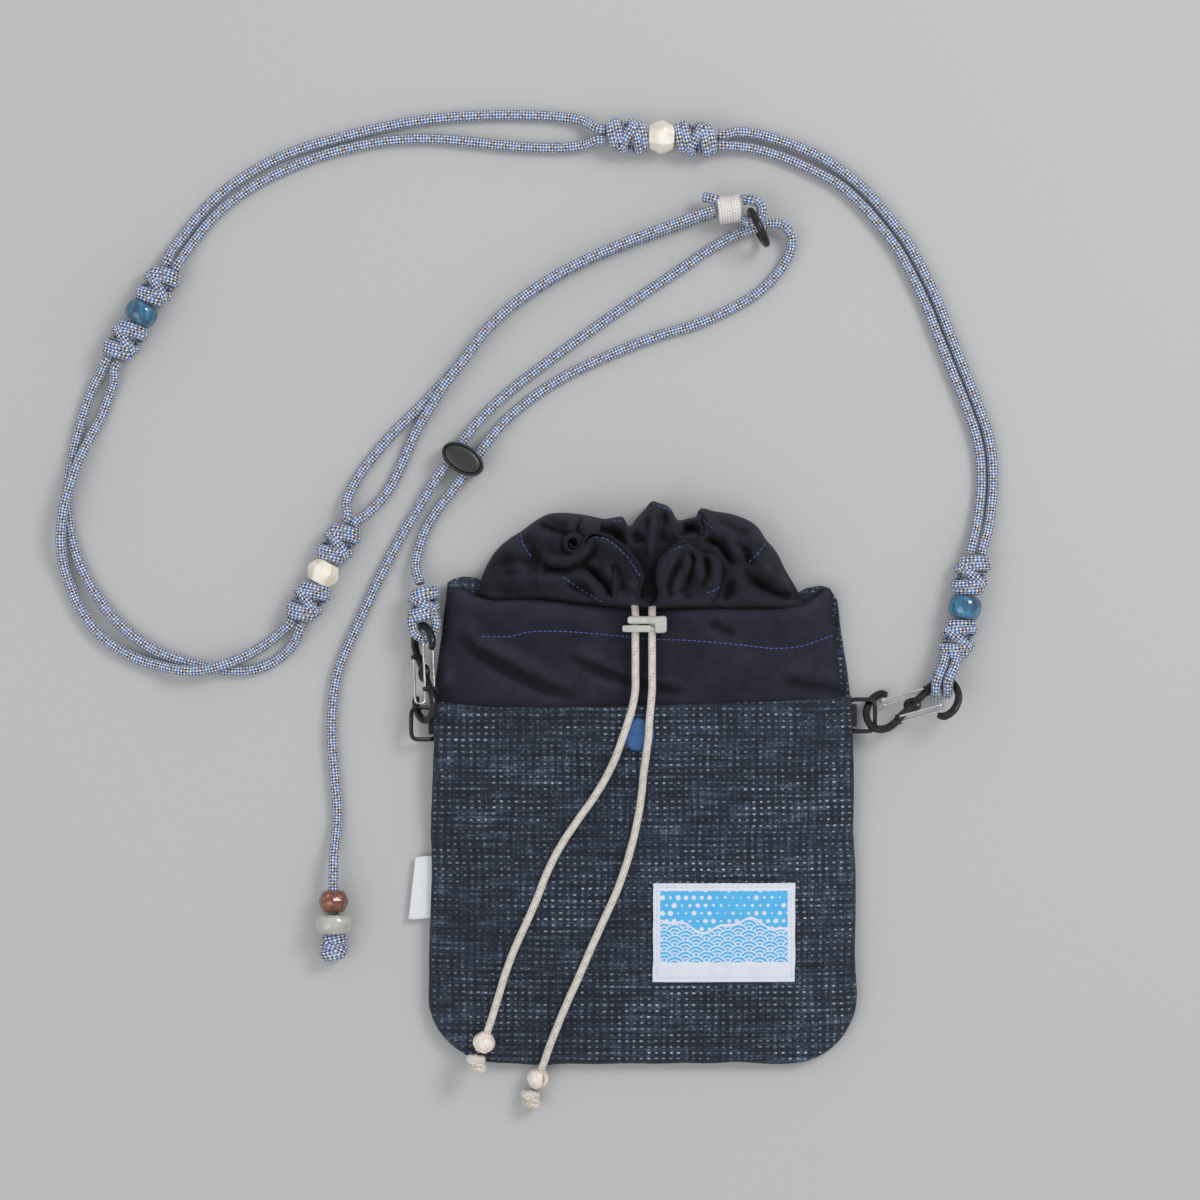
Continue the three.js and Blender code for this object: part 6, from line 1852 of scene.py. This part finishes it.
def select_faces(piece, wanted):
    """Enters edit mode with only those faces selected that pass a test."""
    bpy.ops.object.mode_set(mode="EDIT")
    bpy.ops.mesh.select_mode(type="FACE")
    bpy.ops.mesh.select_all(action="DESELECT")
    bpy.ops.object.mode_set(mode="OBJECT")
    for polygon in piece.data.polygons:
        polygon.select = wanted(polygon)
    bpy.ops.object.mode_set(mode="EDIT")


def select_side(piece, normal, past=-100):
    """Selects the faces that look along a direction and lie past a value of X."""
    def wanted(polygon):
        return polygon.normal.dot(Vector(normal)) > 0.9 and polygon.center.x > past * MM

    select_faces(piece, wanted)


def push(x, y, z=0):
    bpy.ops.mesh.extrude_region_move(TRANSFORM_OT_translate={"value": (x * MM, y * MM, z * MM)})


def rounded_off(piece, width):
    bpy.ops.object.mode_set(mode="OBJECT")
    finish_modifier(piece, "BEVEL", width=width * MM, segments=4, limit_method="ANGLE", angle_limit=0.5)
    smooth_by_angle(piece, 40)


lock = block("lock_body_moulded", (-6.2, 78.9, LOCK_Z - LOCK_HALF), (4.6, 82.0, LOCK_Z + LOCK_HALF))
select_side(lock, (1, 0, 0))
push(4.8, 0.2)
select_side(lock, (0, -1, 0), 5)
push(0, -3.7)
rounded_off(lock, 1.25)
dressed(lock, "lock", "grey_plastic", grey_plastic, "lock_body")
button = block("lock_button_moulded", (-6.6, 75.7, LOCK_Z - LOCK_HALF), (2.9, 78.4, LOCK_Z + LOCK_HALF))
select_side(button, (-1, 0, 0))
push(-1.6, 0.1)
bpy.ops.transform.resize(value=(1, 0.8, 0.86), center_override=(-8.2 * MM, 77.1 * MM, LOCK_Z * MM))
select_side(button, (1, 0, 0))
push(0.4, -0.1)
bpy.ops.transform.resize(value=(1, 0.5, 0.7), center_override=(3.3 * MM, 76.9 * MM, LOCK_Z * MM))
push(1.15, 0)
rounded_off(button, 0.9)
dressed(button, "button", "grey_plastic", grey_plastic, "lock_button")

low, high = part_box("snap_cap")
cap_top, cap_radius = high[2] / MM, 6.5
cap_profile = [(cap_top - 3.4, 0.02), (cap_top - 3.4, 1.4), (cap_top - 1.8, 1.5),
    (cap_top - 1.8, cap_radius - 0.5),
               (cap_top - 1.6, cap_radius - 0.1), (cap_top - 1.2, cap_radius)]
for angle in np.linspace(0.15, 1.5, 10):
    cap_profile.append((cap_top - 1.2 + 1.2 * math.sin(angle) ** 1.3,
        cap_radius * (0.62 + 0.38 * math.cos(angle))))
cap_profile.append((cap_top, 0.02))
cap_model = turned_piece("cap_model", cap_profile, 56)
cap = copy_at("snap_cap_pressed", cap_model, Matrix.Translation(Vector((*SNAP_CENTRE, 0)) * MM), 50)
dressed(cap, "pouch", "blue_enamel", blue_enamel, "snap_cap")
put_away(cap_model)

# %% [markdown]
# The strap's adjuster is an oval block with a raised rim and a domed plate in it. A cylinder
# is stretched to an oval, and its top is inset and sunk for the plate. The cords run through
# the block, so only their ends outside it show.

# %% Adjuster
ADJUSTER_CENTRE, ADJUSTER_ANGLE = (-71.7, 144.6, 4.75), -32
ADJUSTER_SIZE = (18.0, 11.2, 9.4)


def oval_block(name, length, width, low, high):
    start_fresh()
    bpy.ops.mesh.primitive_cylinder_add(
        vertices=72, radius=0.5 * MM, depth=(high - low) * MM, location=(0, 0, (high + low) / 2 * MM))
    piece = bpy.context.object
    piece.name = name
    bpy.ops.object.mode_set(mode="EDIT")
    bpy.ops.mesh.select_all(action="SELECT")
    bpy.ops.transform.resize(value=(length, width, 1), center_override=(0, 0, 0))
    bpy.ops.mesh.select_all(action="DESELECT")
    bpy.ops.object.mode_set(mode="OBJECT")
    bpy.ops.object.transform_apply(location=True, rotation=True, scale=True)
    return piece


def select_top(piece, level):
    """Selects the flat faces that look up at a height in millimetres."""
    def wanted(polygon):
        return polygon.normal.z > 0.9 and abs(polygon.center.z / MM - level) < 0.05

    select_faces(piece, wanted)


length, width, depth = ADJUSTER_SIZE
body_piece = oval_block("adjuster_body_moulded", length, width, -depth / 2, depth / 2)
select_top(body_piece, depth / 2)
bpy.ops.mesh.inset(thickness=0.95 * MM)
bpy.ops.mesh.extrude_region_move(TRANSFORM_OT_translate={"value": (0, 0, -1.1 * MM)})
bpy.ops.object.mode_set(mode="OBJECT")
finish_modifier(body_piece, "BEVEL", width=0.42 * MM, segments=3, limit_method="ANGLE", angle_limit=0.8)
placed = turned_flat(ADJUSTER_CENTRE, math.radians(ADJUSTER_ANGLE))
body_piece.data.transform(placed)
plate = oval_block("adjuster_plate", length - 2.7, width - 2.7, depth / 2 - 1.0, depth / 2 - 0.25)
select_top(plate, depth / 2 - 0.25)
for thickness, rise in ((0.5, 0.22), (0.8, 0.16), (0.7, 0.06)):
    bpy.ops.mesh.inset(thickness=thickness * MM)
    bpy.ops.transform.translate(value=(0, 0, rise * MM))
bpy.ops.object.mode_set(mode="OBJECT")
plate.data.transform(placed)
for piece in (body_piece, plate):
    smooth_by_angle(piece, 38)
dressed(body_piece, "adjuster", "black_plastic", black_plastic, "adjuster_body")
dressed(plate, "adjuster", "black_plastic", plate_plastic, "adjuster_face")

# %% [markdown]
# The whipping is one waxed thread wound eight times round the doubled cord. It is a real helix,
# a little uneven as hand work is, with two crossing turns on top where its end was buried.

# %% Whipping
WHIPPING_CENTRE, WHIPPING_YAW = (34.6, 244.0, 5.8), 6
WHIPPING_RADIUS, WHIPPING_LENGTH, WHIPPING_TURNS = 5.7, 9.8, 8
THREAD_RADIUS = 0.56
CORE_GAP = 1.25
random = np.random.default_rng(5)
wobble = np.interp(np.linspace(0, WHIPPING_TURNS, 400), np.arange(WHIPPING_TURNS + 1),
    random.uniform(-0.12, 0.12, WHIPPING_TURNS + 1))
winding = []
for share, uneven in zip(np.linspace(0, 1, 400), wobble):
    angle = 2 * math.pi * WHIPPING_TURNS * share
    reach = WHIPPING_RADIUS - THREAD_RADIUS + uneven * 0.5 - 0.1
    along = (share - 0.5) * (WHIPPING_LENGTH - 2 * THREAD_RADIUS) + uneven
    winding.append((along, math.cos(angle) * reach, math.sin(angle) * reach))
placed = turned_flat(WHIPPING_CENTRE, math.radians(WHIPPING_YAW))
winding = np.array(winding) * MM
core = np.linspace((-WHIPPING_LENGTH * 0.46, 0, 0), (WHIPPING_LENGTH * 0.46, 0, 0), 9) * MM
parts = [tube_parts(placed_line(winding, placed), THREAD_RADIUS * MM, 8)]
parts.append(tube_parts(placed_line(core, placed), (WHIPPING_RADIUS - CORE_GAP) * MM, 24))
for lean in (0.9, 1.25):
    cross = [(-3.9 + 7.8 * share, math.cos(lean + 0.8 * share) * 5.3,
        math.sin(lean + 0.8 * share) * 5.3) for share in np.linspace(0, 1, 14)]
    parts.append(tube_parts(placed_line(np.array(cross) * MM, placed), 0.4 * MM, 8))
dressed(joined("whipping_wound", parts), "pouch", "waxed_thread", waxed_thread, "whipping")
print("whipping thread is", round(line_length(winding) * 1000), "mm long")

# %% [markdown]
# The label on the pocket is a printed cotton patch with a stitched white border. Its picture
# here is a generic one: rows of scallops below, and dots above. The scallops are circles whose
# lower rows cover the upper ones. The nodes find the lowest circle that holds a point, and
# the distance to its middle then draws the rings.

# %% Label print
LABEL_X, LABEL_Y, LABEL_WIDTH, LABEL_HEIGHT = 32.2, -43.4, 56.4, 39.2
FIELD_LEFT, FIELD_RIGHT, FIELD_LOW, FIELD_HIGH = 6.84, 57.4, -55.1, -26.8
SCALLOP = 0.0042

label_print, nodes, shader, places = new_material("printed_label", roughness=0.85)
place = places["Object"]
rough_edge = nodes.times(nodes.minus(nodes.noise(place, 900, 2), 0.5), 0.0006)
x, y, _ = nodes.parts(place)
x = nodes.plus(x, rough_edge)
y = nodes.plus(y, rough_edge)


def scallop_distance(nodes, x, y, below):
    """Distance to the nearest circle middle in a row, counted down from the point's own row."""
    row = nodes.minus(nodes.math("FLOOR", nodes.over(y, SCALLOP / 2)), below)
    shift = nodes.times(nodes.math("FLOORED_MODULO", row, 2.0), SCALLOP)
    column = nodes.math("ROUND", nodes.over(nodes.minus(x, shift), 2 * SCALLOP))
    away_x = nodes.minus(x, nodes.plus(nodes.times(column, 2 * SCALLOP), shift))
    away_y = nodes.minus(y, nodes.times(row, SCALLOP / 2))
    squares = nodes.plus(nodes.times(away_x, away_x), nodes.times(away_y, away_y))
    return nodes.math("SQRT", squares)


front_row = scallop_distance(nodes, x, y, 1.0)
back_row = scallop_distance(nodes, x, y, 0.0)
covered = nodes.math("LESS_THAN", front_row, SCALLOP)
distance = either(nodes, covered, back_row, front_row)
rings = nodes.math("GREATER_THAN", nodes.math("FRACT", nodes.over(distance, SCALLOP / 3.0)), 0.66)
swell = nodes.times(nodes.math("SINE", nodes.times(x, 190.0)), 0.0022)
ripple = nodes.times(nodes.math("SINE", nodes.times(x, 470.0)), 0.0009)
horizon = nodes.plus(nodes.plus(swell, ripple), -0.0405)
is_low = nodes.math("LESS_THAN", y, horizon)
DOT_PITCH = 0.0031
dot_row = nodes.math("FLOOR", nodes.over(y, DOT_PITCH))
dot_x = nodes.plus(nodes.over(x, DOT_PITCH), nodes.times(nodes.math("FLOORED_MODULO", dot_row, 2.0), 0.5))
from_x = nodes.minus(nodes.math("FRACT", dot_x), 0.5)
from_y = nodes.minus(nodes.math("FRACT", nodes.over(y, DOT_PITCH)), 0.5)
spot = nodes.math("SQRT", nodes.plus(nodes.times(from_x, from_x), nodes.times(from_y, from_y)))
spot_size = nodes.add("ShaderNodeTexWhiteNoise",
    {"Vector": nodes.vector(nodes.math("FLOOR", dot_x), dot_row)}, noise_dimensions="2D")
dots = nodes.math("LESS_THAN", spot, nodes.stretch(spot_size.outputs[0], 0, 1, 0.1, 0.34))
shore = nodes.math("LESS_THAN", nodes.math("ABSOLUTE", nodes.minus(y, horizon)), 0.00045)
drawn = nodes.math("MAXIMUM", either(nodes, is_low, dots, rings), shore)
inside_x = nodes.times(nodes.math("GREATER_THAN", x, FIELD_LEFT * MM),
    nodes.math("LESS_THAN", x, FIELD_RIGHT * MM))
inside_y = nodes.times(nodes.math("GREATER_THAN", y, FIELD_LOW * MM),
    nodes.math("LESS_THAN", y, FIELD_HIGH * MM))
inked = nodes.times(nodes.times(inside_x, inside_y), nodes.minus(1.0, drawn))
weave = use_group(nodes, "plain_weave", Place=place, Thread=0.0004)["Height"]
ink = nodes.blend(nodes.noise(place, 300, 3), linear(78, 176, 232), linear(96, 192, 242))
cloth = nodes.blend(nodes.noise(place, 220, 3), linear(216, 220, 232), linear(234, 237, 246))
printed = nodes.blend(inked, cloth, ink)
# Painted shade in the weave's low points and painted highlight on its crowns.
nodes.put(shader["Base Color"], tinted(nodes, printed, nodes.stretch(weave, 0, 1, 0.9, 1.05)))
relief(nodes, shader, weave, 0.00012)
print("label nodes:", len(nodes.tree.nodes))

# %% Label cloth and its stitches
def label_place(s, t):
    x = LABEL_X + (s - 0.5) * LABEL_WIDTH + 0.25 * wave_noise(s * 0, t * 39, 18,
        41) * smooth_step(np.abs(s - 0.5), 0.4, 0.5)
    return x, LABEL_Y + (t - 0.5) * LABEL_HEIGHT


def label_height(x, y, s, t):
    """Follows the pocket, puckered a little between the stitches at its edge."""
    edge = np.minimum(np.minimum(s, 1 - s) * LABEL_WIDTH, np.minimum(t, 1 - t) * LABEL_HEIGHT)
    pucker = 0.16 * np.sin((x + y) * 2.4) * np.exp(-((edge / 2.2) ** 2))
    hem = -0.34 * np.exp(-(((edge - 1.5) / 0.6) ** 2))
    return pocket_height(x, y, s, t) + 0.62 + pucker + hem + 0.08 * wave_noise(x, y, 9, 42)


label = cloth_grid("label_cloth", label_place, label_height, 110, 78, 0.55)
dressed(label, "pouch", "white_cloth", label_print, "label_patch")
white_thread, nodes, shader, places = new_material("white_thread", roughness=0.6)
gloss = nodes.noise(places["Object"], 2600, 2)
paint(nodes, shader, gloss, (188, 192, 206), (236, 238, 246))
inset = 1.5
left, right = LABEL_X - LABEL_WIDTH / 2 + inset, LABEL_X + LABEL_WIDTH / 2 - inset
low_edge, high_edge = LABEL_Y - LABEL_HEIGHT / 2 + inset, LABEL_Y + LABEL_HEIGHT / 2 - inset
corners = [(left, low_edge), (right, low_edge), (right, high_edge), (left, high_edge), (left, low_edge)]
label_rows = [[a, tuple((np.array(a) + b) / 2), b] for a, b in zip(corners, corners[1:])]
sewn = stitches("label_stitches", label, label_rows, 1.7, 2.5, 0.24, white_thread, "white_cloth")

# %% [markdown]
# The side label is a short tape, folded in two with its ends in the seam. It is one sheet that
# runs out from the seam, turns in a tight fold and comes back underneath. It carries nothing.

# %% Side label
SIDE_LABEL_LOW, SIDE_LABEL_HIGH = -38.9, -14.0
TAPE, TAPE_BEND = 0.32, 0.29
TAPE_REACH, TAPE_SLANT, TAPE_IN_SEAM, TAPE_Z = 7.9, 2.8, 4.6, 2.32
TAPE_COLUMNS, TAPE_ROWS = 61, 26


def side_label_point(s, t):
    y = SIDE_LABEL_LOW + t * (SIDE_LABEL_HIGH - SIDE_LABEL_LOW)
    fold_x = -BODY_WIDTH / 2 - TAPE_REACH + TAPE_SLANT * t
    seam_x = -BODY_WIDTH / 2 + TAPE_IN_SEAM
    reach = np.abs(2 * s - 1)
    x = seam_x + (fold_x + TAPE_BEND - seam_x) * np.clip((1 - reach) / 0.94, 0, 1)
    turn = np.clip((0.06 - reach) / 0.06, 0, 1)
    x = x - TAPE_BEND * np.sin(turn * math.pi / 2)
    z = TAPE_Z + np.sign(0.5 - s) * TAPE_BEND * np.cos(turn * math.pi / 2)
    z = z + 0.12 * np.sin(y * 0.45) * (1 - reach)
    return x, y + 0.25 * np.sin(x * 0.5), z


s, t = np.meshgrid(np.linspace(0, 1, TAPE_COLUMNS), np.linspace(0, 1, TAPE_ROWS))
side_x, side_y, side_z = side_label_point(s, t)
vertices = np.column_stack([side_x.ravel(), side_y.ravel(), side_z.ravel()]) * MM
starts = [r * TAPE_COLUMNS + c for r in range(TAPE_ROWS - 1) for c in range(TAPE_COLUMNS - 1)]
faces = [(a, a + 1, a + TAPE_COLUMNS + 1, a + TAPE_COLUMNS) for a in starts]
maps = [[(vertices[i][0], vertices[i][1]) for i in face] for face in faces]
side_tape = new_object("side_label_tape", vertices, faces, maps)
thicken(side_tape, TAPE, 0.0)
dressed(side_tape, "pouch", "white_cloth", white_tape, "side_label")
print("labels are sewn on")

# %% [markdown]
# Both ends of each lie in a knot, a lock or a ring of the object itself.

# %% Each cord's radius
for name in ROUTES:
    radius = STRING_RADIUS if name.startswith("drawstring") else STRAP_RADIUS
